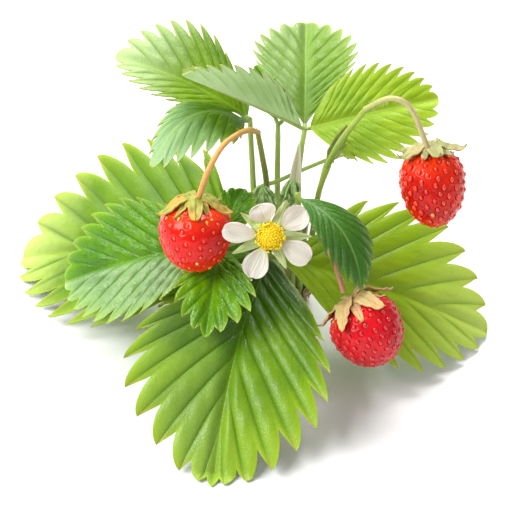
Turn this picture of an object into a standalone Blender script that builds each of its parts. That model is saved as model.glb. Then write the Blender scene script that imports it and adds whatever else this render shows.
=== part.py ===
"""Wild strawberry: a cut sprig with three berries, one flower and its trifoliate leaves.

All lengths below are millimetres in the plan frame: +X right, +Y back, +Z up, with the
crown's foot on the plan's Z = 0.  The finished sprig hangs from one empty that moves the
middle of its footprint to the world origin and turns millimetres into metres.
"""
import math

import bmesh
import bpy
from mathutils import Matrix, Vector

MM = 0.001
UP = Vector((0.0, 0.0, 1.0))

# Driving sizes, in millimetres and degrees.
BLADE = 0.5                  # thickness of a leaflet
SEPAL = 0.4
PETAL = 0.3
GAP = 0.3                    # clear space between neighbouring pieces
JOIN = 1.15                  # from a leaf's junction to the base of each leaflet
CROWN_AT = Vector((0.0, 3.0, 0.0))
CROWN_R = 4.9
CROWN_H = 5.0
RING_R = 3.9                 # circle on the crown's top where the stalks start
STALK_R = 0.6
FINE_R = 0.45
BERRY_SEGMENTS = 20
BERRY_RINGS = 12
PETAL_LENGTH = 5.9
PETAL_HALF = 2.1
DOME_R = 2.5

LEAF_DEFAULTS = dict(teeth=8, depth=0.22, widest_left=0.82, widest_right=0.82, base_power=1.15,
                     bow=2.0, roll=0.0, fold_left=5.0, fold_right=5.0, sway=0.0, hook=0.0,
                     lobe_left=0.0, lobe_right=0.0,
                     rows=(-1.0, -0.55, 0.0, 0.55, 1.0))

# Each leaf: the point where its leaflets meet, the leaflets, and the colour of its blades.
LEAVES = {
    "leaf_a": dict(junction=(-3.2, -9.0, 21.8), leaflets={
        "front": dict(tip=(-14.4, -51.6, -4.5), length=50, left=19.5, right=20.5, bow=5.2,
                      sway=1.2, widest_left=0.76, widest_right=0.76, fold_left=-2,
                      fold_right=14, rows=(-1.0, -0.85, -0.5, 0.0, 0.5, 0.85, 1.0)),
        "right": dict(tip=(40.8, -8.1, 0.4), length=48, left=19.5, right=16, teeth=7, bow=3,
                      roll=-27, widest_left=0.8, base_power=1.6, fold_left=4, fold_right=4,
                      lobe_left=2.5),
        "left": dict(tip=(-55.0, 15.4, 0.6), length=54, left=18.5, right=25, bow=3, roll=26,
                     widest_right=0.84, base_power=1.5, fold_left=4, fold_right=4,
                     lobe_right=5.0)}),
    "leaf_b": dict(junction=(-12.6, -14.4, 28.9), leaflets={
        "left": dict(tip=(-43.8, -8.3, 14.0), length=36, left=13, right=13, bow=3, roll=30),
        "front": dict(tip=(-15.3, -32.0, 20.6), length=24, left=8.5, right=9, teeth=5, bow=1),
        "back": dict(tip=(-8.4, -4.0, 34.2), length=14, left=4, right=5, teeth=5)}),
    "leaf_c": dict(junction=(-7.2, 7.5, 43.2), leaflets={
        "left": dict(tip=(-33.7, 14.0, 53.2), length=30, left=7.5, right=14, depth=0.28, roll=10,
                     widest_left=0.95, base_power=1.3),
        "front": dict(tip=(-26.0, -10.5, 45.0), length=32, left=9, right=4.5, teeth=7,
                      widest_left=0.75, widest_right=0.9, base_power=1.8, bow=4.5,
                      fold_left=-24, fold_right=-4, hook=3),
        "back": dict(tip=(-17.0, 22.0, 39.0), length=18, left=6, right=6, teeth=7)}),
    "leaf_d": dict(junction=(3.6, 6.0, 41.8), leaflets={
        "back": dict(tip=(4.1, 30.0, 50.0), length=26, left=10.5, right=10.5, bow=1,
                     widest_left=1.1, widest_right=1.1, base_power=0.95, fold_left=6,
                     fold_right=6),
        "right": dict(tip=(29.9, 8.0, 47.6), length=28, left=9.5, right=10.5, teeth=9, bow=1,
                      roll=-40, widest_left=0.75, widest_right=0.75, fold_left=2, fold_right=2),
        "left": dict(tip=(-19.9, -2.0, 60.1), length=27, left=7.5, right=9, bow=0.3,
                     roll=-42, base_power=1.3, fold_left=34, fold_right=34)}),
    "leaf_f": dict(junction=(-1.6, 12.0, 38.3), leaflets={
        "left": dict(tip=(-6.0, 20.5, 46.6), length=14, left=5, right=4, teeth=5, fold_left=15,
                     fold_right=15),
        "right": dict(tip=(6.5, 21.0, 40.5), length=14, left=4.5, right=4.5, teeth=5)}),
    "leaf_e": dict(junction=(2.0, -9.2, 37.4), leaflets={
        "young": dict(tip=(14.0, -24.0, 25.5), length=24, left=7.5, right=7, teeth=7, bow=3,
                      sway=-2, fold_left=-20, fold_right=-20)}),
}

# Stalks: the ring angle where each leaves the crown, then the points it passes.
STALKS = {
    "petiole_a": dict(ring=270, points=[(-0.6, -4.5, 13), (-2.4, -7.8, 19.2), (-3.2, -9.0, 21.6)]),
    "petiole_b": dict(ring=218, points=[(-3.4, -1.4, 16), (-4.2, -4.2, 24), (-6.4, -7.8, 27.0),
                                        (-10.0, -12.0, 27.8), (-12.4, -14.2, 28.5)]),
    "petiole_c": dict(ring=130, points=[(-6.0, 5.6, 22), (-6.8, 6.4, 34), (-7.2, 7.4, 42.9)]),
    "petiole_d": dict(ring=60, points=[(2.2, 5.2, 26), (2.9, 5.6, 36), (3.5, 6.0, 41.5)]),
    "petiole_e": dict(ring=318, points=[(2.6, -2.6, 20), (2.4, -6.4, 31), (2.0, -9.0, 37.1)]),
    "petiole_f": dict(ring=95, points=[(-1.6, 8.4, 22), (-1.6, 11.2, 34), (-1.6, 12.0, 38.0)]),
    "side_stalk": dict(ring=162, radius=FINE_R,
                       points=[(-6.2, 2.6, 18), (-7.0, 3.2, 25), (-5.6, 4.0, 28.4),
                               (-1.6, 6.4, 28.4), (3.0, 8.0, 29.8), (8.4, 8.0, 32.6),
                               (11.4, 7.0, 34.6)]),
    "pedicel": dict(ring=294, radius=FINE_R,
                    points=[(1.0, -3.2, 18), (0.4, -6.4, 29), (-0.2, -12.8, 38.0),
                            (-1.0, -18.2, 40.8), (-2.3, -21.8, 39.9), (-3.2, -23.1, 38.2)]),
    "bud_stalk": dict(ring=244, radius=FINE_R, points=[(-1.8, -3.0, 16), (-1.9, -5.2, 29.8)]),
    "peduncle_1_rise": dict(ring=192, points=[(-3.7, 0.6, 20), (-3.9, -0.8, 33),
                                              (-4.8, -2.2, 41.5), (-5.6, -4.0, 47.9)]),
    "peduncle_1_arch": dict(points=[(-5.8, -4.5, 48.9), (-7.7, -7.9, 51.9), (-11.8, -13.4, 53.0),
                                    (-14.8, -17.0, 49.7), (-16.4, -18.1, 45.1)]),
    "peduncle_2_foot": dict(ring=8, node=(1.5, 1.2), points=[(5.6, 2.0, 20),
                                                            (6.4, 0.8, 29.4),
                                                            (7.9, -1.0, 37.6)]),
    "peduncle_2_rise": dict(points=[(8.1, -1.3, 38.6), (10.6, -3.0, 46.0), (14.5, -5.0, 54.2)]),
    "peduncle_2_arch": dict(points=[(15.2, -5.3, 55.2), (19.4, -6.5, 58.4), (23.3, -7.5, 56.6),
                                    (26.3, -8.4, 49.4)]),
    "peduncle_3": dict(ring=342, points=[(3.6, 0.0, 18), (4.2, -3.6, 27), (5.4, -8.6, 29.6),
                                         (7.4, -14.2, 29.8), (9.3, -18.4, 27.4),
                                         (10.7, -21.2, 23.9)]),
}

# Berries: centre, the way the tip points, greatest radius and half length.
BERRIES = {
    1: dict(centre=(-17.5, -20.5, 36.2), towards=(0.0, -0.35, -1.0), radius=6.9, half=6.9,
            sepal=7.2),
    2: dict(centre=(28.1, -10.2, 39.8), towards=(0.12, -0.45, -1.0), radius=6.1, half=7.6,
            sepal=6.6),
    3: dict(centre=(15.9, -26.0, 16.7), towards=(0.62, -0.55, -1.0), radius=6.8, half=6.8,
            sepal=7.0),
}

FLOWER = dict(centre=(-3.3, -24.8, 39.3), facing=(0.0, -1.0, 0.75),
              petals={"left": 174, "top": 110, "upper_right": 36, "lower_right": -31,
                      "lower_left": -115})

COLOURS = {
    "leaf_a": (0.13, 0.30, 0.02), "leaf_b": (0.10, 0.26, 0.03), "leaf_c": (0.17, 0.34, 0.06),
    "leaf_d": (0.20, 0.38, 0.08), "leaf_e": (0.03, 0.12, 0.05), "leaf_f": (0.13, 0.28, 0.04),
    "berry": (0.72, 0.02, 0.015), "calyx": (0.46, 0.42, 0.20), "stalk": (0.34, 0.46, 0.10),
    "petal": (0.86, 0.85, 0.80), "dome": (0.86, 0.62, 0.03), "stamens": (0.85, 0.70, 0.12),
    "crown": (0.20, 0.12, 0.05), "bud": (0.10, 0.22, 0.05), "stipule": (0.66, 0.70, 0.52),
    "bract": (0.30, 0.42, 0.10), "sepals": (0.22, 0.36, 0.08),
}
ROUGHNESS = {"berry": 0.25, "petal": 0.6, "crown": 0.85}


# Small helpers.

def make_material(node, slot):
    """A Principled material of the node's own, coloured for its slot."""
    material = bpy.data.materials.new(node + "_" + slot)
    material.use_nodes = True
    shader = material.node_tree.nodes["Principled BSDF"]
    shader.inputs["Base Color"].default_value = (*COLOURS[slot], 1.0)
    shader.inputs["Roughness"].default_value = ROUGHNESS.get(slot, 0.5)
    shader.inputs["Metallic"].default_value = 0.0
    return material


def add_object(name, data, slot, root):
    """Link one named piece under the root empty."""
    piece = bpy.data.objects.new(name, data)
    bpy.context.scene.collection.objects.link(piece)
    piece.parent = root
    data.materials.append(make_material(name, slot))
    return piece


def finish_mesh(name, bm, slot, root, closed=True):
    """Turn a finished bmesh into a piece, a closed one with its faces looking out."""
    if closed:
        bmesh.ops.recalc_face_normals(bm, faces=bm.faces)
    mesh = bpy.data.meshes.new(name)
    bm.to_mesh(mesh)
    bm.free()
    return add_object(name, mesh, slot, root)


def finish_sheet(name, bm, slot, root, thickness, offset=0.0):
    """Turn an open sheet into a piece; offset -1 keeps a sheet that faces down as its underside."""
    piece = finish_mesh(name, bm, slot, root, closed=False)
    modifier = piece.modifiers.new("thickness", "SOLIDIFY")
    modifier.thickness = thickness
    modifier.offset = offset
    return piece


def smooth_route(points, steps=3):
    """Catmull-Rom points through a hand-chosen route."""
    ends = [points[0] * 2 - points[1], *points, points[-1] * 2 - points[-2]]
    route = []
    for first, a, b, last in zip(ends, ends[1:], ends[2:], ends[3:]):
        for step in range(steps):
            t = step / steps
            route.append((2 * a + (b - first) * t + (2 * first - 5 * a + 4 * b - last) * t ** 2
                          + (3 * a - first - 3 * b + last) * t ** 3) / 2)
    return route + [points[-1]]


def axes_for(direction):
    """Two unit vectors square to a direction: sideways, then the remaining one."""
    along = direction.normalized()
    side = along.cross(UP)
    if side.length < 0.05:
        side = Vector((1.0, 0.0, 0.0))
    side.normalize()
    return along, side, side.cross(along)


# Leaves.

def blade_half_width(u, side_width, widest, base_power, lobe):
    """Half width of the blade's outline where the margin parameter is u."""
    power = base_power + (0.8 - base_power) * u
    share = max(math.sin(math.pi * min(max(u, 0.0), 1.0) ** widest), 0.0) ** power
    return side_width * share + lobe * math.exp(-((u - 0.2) / 0.06) ** 2)


def tooth_reach(u, leaf, start=0.15, peak=0.74):
    """How far a side vein runs towards the margin: 1 on a tooth's tip, less in a notch."""
    k = max(u - start, 0.0) / (1 - start) * (leaf["teeth"] + peak)
    s = k - math.floor(k + 1e-9)
    rise = math.sin(math.pi / 2 * min(s / peak, 1.0)) ** 0.8 if s > 1e-6 else 0.0
    fall = 1 - (s - peak) / (1 - peak)
    fade = min(max(u - start, 0.0) / 0.08, 1.0)
    ending = 0.8 + 0.2 * min((1 - u) / 0.25, 1.0)
    return 1 - leaf["depth"] * fade * ending * (1 - (rise if s < peak else fall))


def blade_point(leaf, base, u, v):
    """Point of a leaflet's underside: u runs base to tip, v across from -1 to 1."""
    a = abs(v)
    left = v < 0
    length = leaf["length"]
    width = blade_half_width(u, leaf["left"] if left else leaf["right"],
                             leaf["widest_left"] if left else leaf["widest_right"],
                             leaf["base_power"],
                             leaf["lobe_left"] if left else leaf["lobe_right"])
    reach = tooth_reach(u, leaf) * a
    vein_root = length * 0.84 * u ** 1.9
    vein_end = length * (1 - (1 - u) ** 1.5)
    across = math.copysign(reach * width + 0.35 * a * (1 - u), v)
    droop = 0.12 - 0.8 * (1 - u) ** 3
    along = vein_root + (vein_end - vein_root) * reach - droop * width * a * (1 - a)

    tip = Vector(leaf["tip"])
    span = tip - base
    forward, side, normal = axes_for(span)
    roll = Matrix.Rotation(-math.radians(leaf["roll"]), 3, forward)
    side = roll @ side
    normal = roll @ normal
    t = min(max(along / length, -0.05), 1.08)
    arc = 4 * t * (1 - t)
    spine = (base + span * t + normal * (arc * leaf["bow"] + leaf["hook"] * 6.75 * t * t * (1 - t))
             + side * (arc * leaf["sway"]))
    fold = math.radians(leaf["fold_left"] if left else leaf["fold_right"])
    point = spine + side * (across * math.cos(fold)) + normal * (abs(across) * math.sin(fold))
    point.z = max(point.z, 0.0)
    return point


def margin_stations(teeth, start=0.15, peak=0.74):
    """Margin parameters of the base, then of every notch and tooth tip."""
    stations = [0.004, 0.07]
    for tooth in range(teeth + 1):
        for part in (0.001, peak):
            stations.append(start + (1 - start) * (tooth + part) / (teeth + peak))
    stations[-1] = 1.0
    return stations


def build_leaflet(name, leaf, base, slot, root):
    """One leaflet: a grid whose columns lie on the teeth, shaped, joined and thickened."""
    stations = margin_stations(leaf["teeth"])
    rows = leaf["rows"]
    bm = bmesh.new()
    bmesh.ops.create_grid(bm, x_segments=len(stations) - 1, y_segments=len(rows) - 1, size=1.0)
    for vertex in bm.verts:
        column = round((vertex.co.x + 1) / 2 * (len(stations) - 1))
        row = round((vertex.co.y + 1) / 2 * (len(rows) - 1))
        vertex.co = blade_point(leaf, base, stations[column], rows[row])
    bmesh.ops.remove_doubles(bm, verts=bm.verts, dist=0.01)
    return finish_sheet(name, bm, slot, root, BLADE, offset=-1.0)


def build_leaf(name, spec, root):
    """Every leaflet of one leaf, set round its junction."""
    junction = Vector(spec["junction"])
    for part, values in spec["leaflets"].items():
        leaf = {**LEAF_DEFAULTS, **values}
        base = junction + (Vector(leaf["tip"]) - junction).normalized() * JOIN
        build_leaflet(f"{name}_{part}", leaf, base, name, root)


def build_plain_blade(name, base, tip, half_width, slot, root, bow=0.6):
    """A small toothless blade: the bract, a bud leaf or the papery stipule."""
    leaf = {**LEAF_DEFAULTS, "tip": tip, "length": (Vector(tip) - Vector(base)).length,
            "left": half_width, "right": half_width, "teeth": 3, "depth": 0.0, "bow": bow,
            "fold_left": 20.0, "fold_right": 20.0, "rows": (-1.0, 0.0, 1.0)}
    return build_leaflet(name, leaf, Vector(base), slot, root)


# Stalks and crown.

def build_tube(name, points, radii, slot, root):
    """A stalk: a bevelled curve along its route with filled ends."""
    curve = bpy.data.curves.new(name, "CURVE")
    curve.dimensions = "3D"
    curve.bevel_depth = 1.0
    curve.bevel_resolution = 1
    curve.use_fill_caps = True
    spline = curve.splines.new("POLY")
    spline.points.add(len(points) - 1)
    for point, place, radius in zip(spline.points, points, radii):
        point.co = (*place, 1.0)
        point.radius = radius
    return add_object(name, curve, slot, root)


def build_stalk(name, spec, root):
    """One stalk from the crown's ring, or a free stretch that follows another."""
    points = [Vector(p) for p in spec["points"]]
    if "ring" in spec:
        angle = math.radians(spec["ring"])
        foot = Vector((math.cos(angle), math.sin(angle), 0)) * RING_R + UP * (CROWN_H + 1.5 * GAP)
        points.insert(0, CROWN_AT + foot)
    route = smooth_route(points)
    radius = spec.get("radius", STALK_R)
    radii = [radius] * len(route)
    if "node" in spec:
        radii[-2:] = [radius * share for share in spec["node"]]
    return build_tube(name, route, radii, "stalk", root)


def build_crown(root):
    """The short woody crown: a turned profile."""
    bm = bmesh.new()
    profile = [(0.0, 0.0), (CROWN_R - 1.2, 0.0), (CROWN_R, 1.4), (CROWN_R - 0.2, 3.6),
               (CROWN_R - 0.5, CROWN_H), (0.0, CROWN_H)]
    verts = [bm.verts.new((CROWN_AT.x + x, CROWN_AT.y, z)) for x, z in profile]
    edges = [bm.edges.new(pair) for pair in zip(verts, verts[1:])]
    bmesh.ops.spin(bm, geom=verts + edges, cent=CROWN_AT, axis=UP, angle=math.tau, steps=20,
                   use_merge=True)
    bmesh.ops.remove_doubles(bm, verts=bm.verts, dist=0.01)
    return finish_mesh("crown", bm, "crown", root)


# Berries.

def berry_radius(t):
    """Radius share at t, which runs from -1 at the calyx to 1 at the tip."""
    return math.sqrt(max(0.0, 1 - abs(t) ** 2.4)) * (1 - 0.16 * t)


def build_berry(number, spec, root):
    """The flesh of a berry: a ball drawn out to the berry's profile."""
    centre = Vector(spec["centre"])
    along, side, third = axes_for(Vector(spec["towards"]))
    bm = bmesh.new()
    bmesh.ops.create_uvsphere(bm, u_segments=BERRY_SEGMENTS, v_segments=BERRY_RINGS, radius=1.0)
    for vertex in bm.verts:
        t = vertex.co.z
        ring = math.hypot(vertex.co.x, vertex.co.y)
        share = berry_radius(t) / ring if ring > 1e-6 else 0.0
        vertex.co = (centre + along * (t * spec["half"])
                     + (side * vertex.co.x + third * vertex.co.y) * share * spec["radius"])
    return finish_mesh(f"berry_{number}", bm, "berry", root)


def star_radius(lobe, points, length, notch):
    """Outline of a star of sepals: long tips, shorter bractlets and the notches between."""
    if lobe % 2:
        return notch
    return length if lobe % 4 == 0 else length * points


def build_star(name, origin, up, length, slot, root, bractlet=0.78, notch=2.0, dome=0.0,
               lift=0.0, turn=0.0):
    """Five sepals and five bractlets as one star-shaped sheet, bent by dome and lift."""
    along, side, third = axes_for(up)
    bm = bmesh.new()
    columns = 20
    rings = 4
    bmesh.ops.create_grid(bm, x_segments=columns, y_segments=rings, size=1.0)
    for vertex in bm.verts:
        column = round((vertex.co.x + 1) / 2 * columns) % columns
        share = 0.1 + 0.9 * round((vertex.co.y + 1) / 2 * rings) / rings
        reach = star_radius(column, bractlet, length, notch) * share
        angle = math.tau * column / columns + turn
        height = -dome * (reach / length) ** 2 + lift * (reach / length) ** 4
        vertex.co = (origin + along * height
                     + (side * math.cos(angle) + third * math.sin(angle)) * reach)
    bmesh.ops.remove_doubles(bm, verts=bm.verts, dist=0.01)
    rim = [e for e in bm.edges if e.is_boundary]
    inner = [e for e in rim if all((v.co - origin).length < length * 0.12 for v in e.verts)]
    bmesh.ops.contextual_create(bm, geom=inner)
    return finish_sheet(name, bm, slot, root, SEPAL)


def build_calyx(number, spec, root):
    """The sepals over a berry's shoulder, with the tips lifting."""
    up = -Vector(spec["towards"]).normalized()
    top = Vector(spec["centre"]) + up * spec["half"]
    build_star(f"calyx_{number}", top + up * (GAP + 0.3), up, spec["sepal"], "calyx", root,
               dome=0.9, lift=1.2, turn=0.3)


# Flower.

def build_petal(name, centre, outward, facing, root):
    """One rounded petal: a grid pressed to an egg-shaped, slightly cupped outline."""
    across = facing.cross(outward)
    bm = bmesh.new()
    bmesh.ops.create_grid(bm, x_segments=8, y_segments=6, size=1.0)
    for vertex in bm.verts:
        x = vertex.co.x * math.sqrt(1 - vertex.co.y ** 2 / 2)
        y = vertex.co.y * math.sqrt(1 - vertex.co.x ** 2 / 2)
        reach = DOME_R + GAP + PETAL_LENGTH * (x + 1) / 2
        cup = 0.5 * (x * x + y * y)
        vertex.co = (centre + outward * reach + across * (y * PETAL_HALF * (1 + 0.18 * x))
                     + facing * cup)
    return finish_sheet(name, bm, "petal", root, PETAL)


def build_dome(centre, facing, root):
    """The yellow dome of the flower: a flattened ball with a flat back."""
    bm = bmesh.new()
    bmesh.ops.create_uvsphere(bm, u_segments=16, v_segments=8, radius=1.0)
    turn = facing.to_track_quat("Z", "Y")
    for vertex in bm.verts:
        local = Vector((vertex.co.x * (DOME_R - 0.5), vertex.co.y * (DOME_R - 0.5),
                        max(vertex.co.z, -0.25) * 1.7 + 0.6))
        vertex.co = centre + turn @ local
    bmesh.ops.dissolve_degenerate(bm, edges=bm.edges, dist=0.01)
    return finish_mesh("flower_dome", bm, "dome", root)


def build_stamens(centre, facing, root):
    """The ring of stamens: a collar whose every second stretch stands up."""
    turn = facing.to_track_quat("Z", "Y")
    bm = bmesh.new()
    bmesh.ops.create_grid(bm, x_segments=40, y_segments=6, size=1.0)
    for vertex in bm.verts:
        column = round((vertex.co.x + 1) / 2 * 40) % 40
        ring = round((vertex.co.y + 1) / 2 * 6) % 6
        angle = math.tau * column / 40
        turn_angle = math.tau * ring / 6
        radius = DOME_R + 0.25 + 0.3 * math.cos(turn_angle)
        raised = 1.0 if column % 4 < 2 and math.sin(turn_angle) > 0.1 else 0.0
        height = 1.3 + 0.3 * math.sin(turn_angle) + 0.7 * raised
        vertex.co = centre + turn @ Vector((math.cos(angle) * radius, math.sin(angle) * radius,
                                            height))
    bmesh.ops.remove_doubles(bm, verts=bm.verts, dist=0.01)
    return finish_mesh("flower_stamens", bm, "stamens", root)


def build_flower(root):
    """Petals, sepals, dome and stamens round one centre."""
    centre = Vector(FLOWER["centre"])
    facing = Vector(FLOWER["facing"]).normalized()
    right = Vector((1.0, 0.0, 0.0))
    raised = facing.cross(right)
    for name, degrees in FLOWER["petals"].items():
        angle = math.radians(degrees)
        outward = right * math.cos(angle) + raised * math.sin(angle)
        build_petal(f"petal_{name}", centre, outward, facing, root)
    build_star("flower_calyx", centre - facing * 0.8, facing, 7.6, "sepals", root,
               dome=0.5, turn=math.radians(4))
    build_dome(centre, facing, root)
    build_stamens(centre, facing, root)


# Small leaves round the crown.

def build_small_leaves(root):
    """The bract on the second peduncle, the stipule, and the unopened leaves and bud."""
    build_plain_blade("bract", (8.6, 0.6, 38.9), (11.5, -0.2, 47.0), 1.8, "bract", root)
    build_plain_blade("stipule", (0.2, 3.0, CROWN_H + GAP), (2.4, 1.6, 42.0), 1.3, "stipule", root,
                      bow=0.0)
    build_plain_blade("bud_leaf_left", (-2.4, -5.5, 30.6), (-4.6, -6.0, 36.6), 1.5, "bud", root)
    build_plain_blade("bud_leaf_right", (-0.8, -4.6, 30.6), (1.2, -3.6, 36.2), 1.0, "bud", root)
    build_side_bud(root)


def build_side_bud(root):
    """The small closed bud at the end of the side stalk."""
    bm = bmesh.new()
    bmesh.ops.create_uvsphere(bm, u_segments=10, v_segments=6, radius=0.9)
    bmesh.ops.scale(bm, vec=(1.0, 1.0, 1.4), verts=bm.verts)
    bmesh.ops.translate(bm, vec=(12.6, 6.4, 35.6), verts=bm.verts)
    return finish_mesh("side_bud", bm, "bud", root)


# The whole sprig.

def footprint(root):
    """Lowest and highest corners of every piece, modifiers and bevels included."""
    bpy.context.view_layer.update()
    graph = bpy.context.evaluated_depsgraph_get()
    low = Vector((math.inf,) * 3)
    high = Vector((-math.inf,) * 3)
    for piece in root.children:
        shape = piece.evaluated_get(graph)
        mesh = shape.to_mesh()
        for vertex in mesh.vertices:
            place = shape.matrix_world @ vertex.co
            low = Vector(map(min, low, place))
            high = Vector(map(max, high, place))
        shape.to_mesh_clear()
    return low, high


def main():
    """Build the sprig and set the middle of its footprint on the origin."""
    for old in list(bpy.data.objects):
        bpy.data.objects.remove(old, do_unlink=True)
    root = bpy.data.objects.new("sprig", None)
    bpy.context.scene.collection.objects.link(root)
    build_crown(root)
    for name, spec in STALKS.items():
        build_stalk(name, spec, root)
    for name, spec in LEAVES.items():
        build_leaf(name, spec, root)
    for number, spec in BERRIES.items():
        build_berry(number, spec, root)
        build_calyx(number, spec, root)
    build_flower(root)
    build_small_leaves(root)
    root.scale = (MM, MM, MM)
    low, high = footprint(root)
    root.location = (-(low.x + high.x) / 2, -(low.y + high.y) / 2, -low.z)


main()
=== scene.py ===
"""Wild strawberry: a cut sprig with three berries, one flower and its trifoliate leaves.

Lengths in the sub-assemblies are millimetres in the plan frame: +X right, +Y back, +Z up,
with the foot of the crown on Z = 0.  The crown's box in the frame says where that plan lies,
so every piece lands on the CAD node it stands for.
"""

import logging
import math
import random
from dataclasses import dataclass, field
from enum import Enum
from typing import Callable, NamedTuple, Sequence

import bpy
from mathutils import Matrix, Quaternion, Vector, kdtree, noise


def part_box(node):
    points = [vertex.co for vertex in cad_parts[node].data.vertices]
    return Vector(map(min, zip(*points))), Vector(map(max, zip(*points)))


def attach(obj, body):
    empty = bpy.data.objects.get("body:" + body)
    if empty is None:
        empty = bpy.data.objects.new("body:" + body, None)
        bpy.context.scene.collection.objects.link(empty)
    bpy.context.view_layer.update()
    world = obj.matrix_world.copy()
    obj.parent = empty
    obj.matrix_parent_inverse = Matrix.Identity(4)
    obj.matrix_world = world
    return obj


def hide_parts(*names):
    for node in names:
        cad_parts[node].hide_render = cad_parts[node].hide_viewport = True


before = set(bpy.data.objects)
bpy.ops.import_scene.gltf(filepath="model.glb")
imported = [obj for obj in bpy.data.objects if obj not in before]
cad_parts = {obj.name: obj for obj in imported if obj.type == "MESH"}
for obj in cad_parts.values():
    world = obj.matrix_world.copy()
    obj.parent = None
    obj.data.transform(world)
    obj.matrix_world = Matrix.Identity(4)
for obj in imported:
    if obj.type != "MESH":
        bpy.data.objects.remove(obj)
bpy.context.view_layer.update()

LOG = logging.getLogger("wild_strawberry")
MM = 0.001  # metres in a millimetre
UP = Vector((0.0, 0.0, 1.0))
BODY = "root"
CROWN_AT = Vector((0.0, 3.0, 0.0))  # the middle of the crown's foot
CROWN_H = 5.0
RING_R = 3.9  # the ring on the crown from which the stalks rise
JOIN = 1.15  # from a leaf's junction to the base of each of its leaflets
STALK_R = 0.6
FINE_R = 0.45
GOLDEN = math.pi * (3.0 - math.sqrt(5.0))  # the turn that spreads points evenly in a spiral
MERGE = 4.0e-6  # points closer than this, in metres, become one
# The last two marks paint light: shade in the creases over the side veins, and sheen.
MARKS = ("vein", "edge", "along", "tooth", "crease_shade", "painted_sheen")


class Spot(NamedTuple):
    """One point of a surface, in plan millimetres, with the marks its finish reads."""

    at: Vector
    vein: float = 0.0
    edge: float = 0.0
    along: float = 0.0
    tooth: float = 0.0
    # Painted shade in the crease over a side vein.
    crease_shade: float = 0.0
    # Painted sheen.
    painted_sheen: float = 0.0


def plan_origin() -> Vector:
    """Where the plan's zero lies in the frame, read from the crown's box.

    Returns:
        The place, in metres.
    """
    low, high = (Vector(corner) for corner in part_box("crown"))
    foot = Vector(((low.x + high.x) / 2, (low.y + high.y) / 2, low.z))
    return foot - CROWN_AT * MM


ORIGIN = plan_origin()


def clamp(value: float, low: float = 0.0, high: float = 1.0) -> float:
    """The value held between two limits."""
    return min(max(value, low), high)


def smooth(value: float) -> float:
    """A smooth step from 0 to 1 as the value goes from 0 to 1."""
    t = clamp(value)
    return t * t * (3.0 - 2.0 * t)


def smooth_route(points: Sequence[Sequence[float]], steps: int = 10) -> list[Vector]:
    """Catmull-Rom points through a given route.

    Args:
        points: the places the route passes, in plan millimetres.
        steps: how many points each stretch gets.

    Returns:
        The points of the smooth route, the given ones among them.
    """
    places = [Vector(p) for p in points]
    ends = [places[0] * 2 - places[1], *places, places[-1] * 2 - places[-2]]
    route = []
    for first, a, b, last in zip(ends, ends[1:], ends[2:], ends[3:]):
        for step in range(steps):
            t = step / steps
            route.append((2 * a + (b - first) * t + (2 * first - 5 * a + 4 * b - last) * t ** 2
                          + (3 * a - first - 3 * b + last) * t ** 3) / 2)
    return route + [places[-1]]


def axes_for(direction: Vector) -> tuple[Vector, Vector, Vector]:
    """Unit vectors for a direction: along it, sideways, and square to both.

    Args:
        direction: the way the first axis points.

    Returns:
        The three axes.
    """
    along = direction.normalized()
    side = along.cross(UP)
    if side.length < 0.05:
        side = Vector((1.0, 0.0, 0.0))
    side.normalize()
    return along, side, side.cross(along)


def around(side: Vector, third: Vector, angle: float) -> Vector:
    """The direction at an angle in radians, turning from the side to the third axis."""
    return side * math.cos(angle) + third * math.sin(angle)


def level(angle: float) -> Vector:
    """The level direction at an angle in radians from +X."""
    return Vector((math.cos(angle), math.sin(angle), 0.0))


# Mesh helpers.

def select_only(piece: bpy.types.Object) -> None:
    """Deselect everything, then select one piece and make it active.

    Args:
        piece: the piece to work on.
    """
    bpy.ops.object.select_all(action="DESELECT")
    piece.select_set(True)
    bpy.context.view_layer.objects.active = piece


def tidy_mesh(piece: bpy.types.Object, outward: bool) -> None:
    """Merge points that meet and, for a closed piece, turn its faces outwards.

    Args:
        piece: the piece whose mesh is tidied.
        outward: whether the mesh is closed and its faces should look out.
    """
    select_only(piece)
    bpy.ops.object.mode_set(mode="EDIT")
    bpy.ops.mesh.select_all(action="SELECT")
    bpy.ops.mesh.remove_doubles(threshold=MERGE)
    bpy.ops.mesh.dissolve_degenerate(threshold=MERGE / 2)
    if outward:
        bpy.ops.mesh.normals_make_consistent(inside=False)
    bpy.ops.object.mode_set(mode="OBJECT")


def set_mark(mesh: bpy.types.Mesh, key: str, values: Sequence[float]) -> None:
    """Keep one value for each point of a mesh, for its finish to read."""
    mesh.attributes.new(key, "FLOAT", "POINT").data.foreach_set("value", values)


def shaped_grid(name: str, columns: int, rows: int, place: Callable[[int, int], Spot],
                closed: bool = False) -> bpy.types.Object:
    """A grid pressed into a surface by a function of its column and row.

    Args:
        name: the piece's name.
        columns: faces along the grid's X.
        rows: faces along the grid's Y.
        place: gives each crossing's place and marks from its column and row.
        closed: whether the finished surface closes on itself.

    Returns:
        The new piece, its marks kept as point attributes.
    """
    bpy.ops.object.select_all(action="DESELECT")
    bpy.ops.mesh.primitive_grid_add(x_subdivisions=columns, y_subdivisions=rows, size=2.0)
    piece = bpy.context.object
    piece.name = name
    piece.data.name = name
    marks: dict[str, list[float]] = {key: [] for key in MARKS}
    for vertex in piece.data.vertices:
        column = round((vertex.co.x + 1) / 2 * columns)
        row = round((vertex.co.y + 1) / 2 * rows)
        spot = place(column, row)
        vertex.co = ORIGIN + spot.at * MM
        for key, values in marks.items():
            values.append(getattr(spot, key))
    for key, values in marks.items():
        set_mark(piece.data, key, values)
    tidy_mesh(piece, closed)
    return piece


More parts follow.
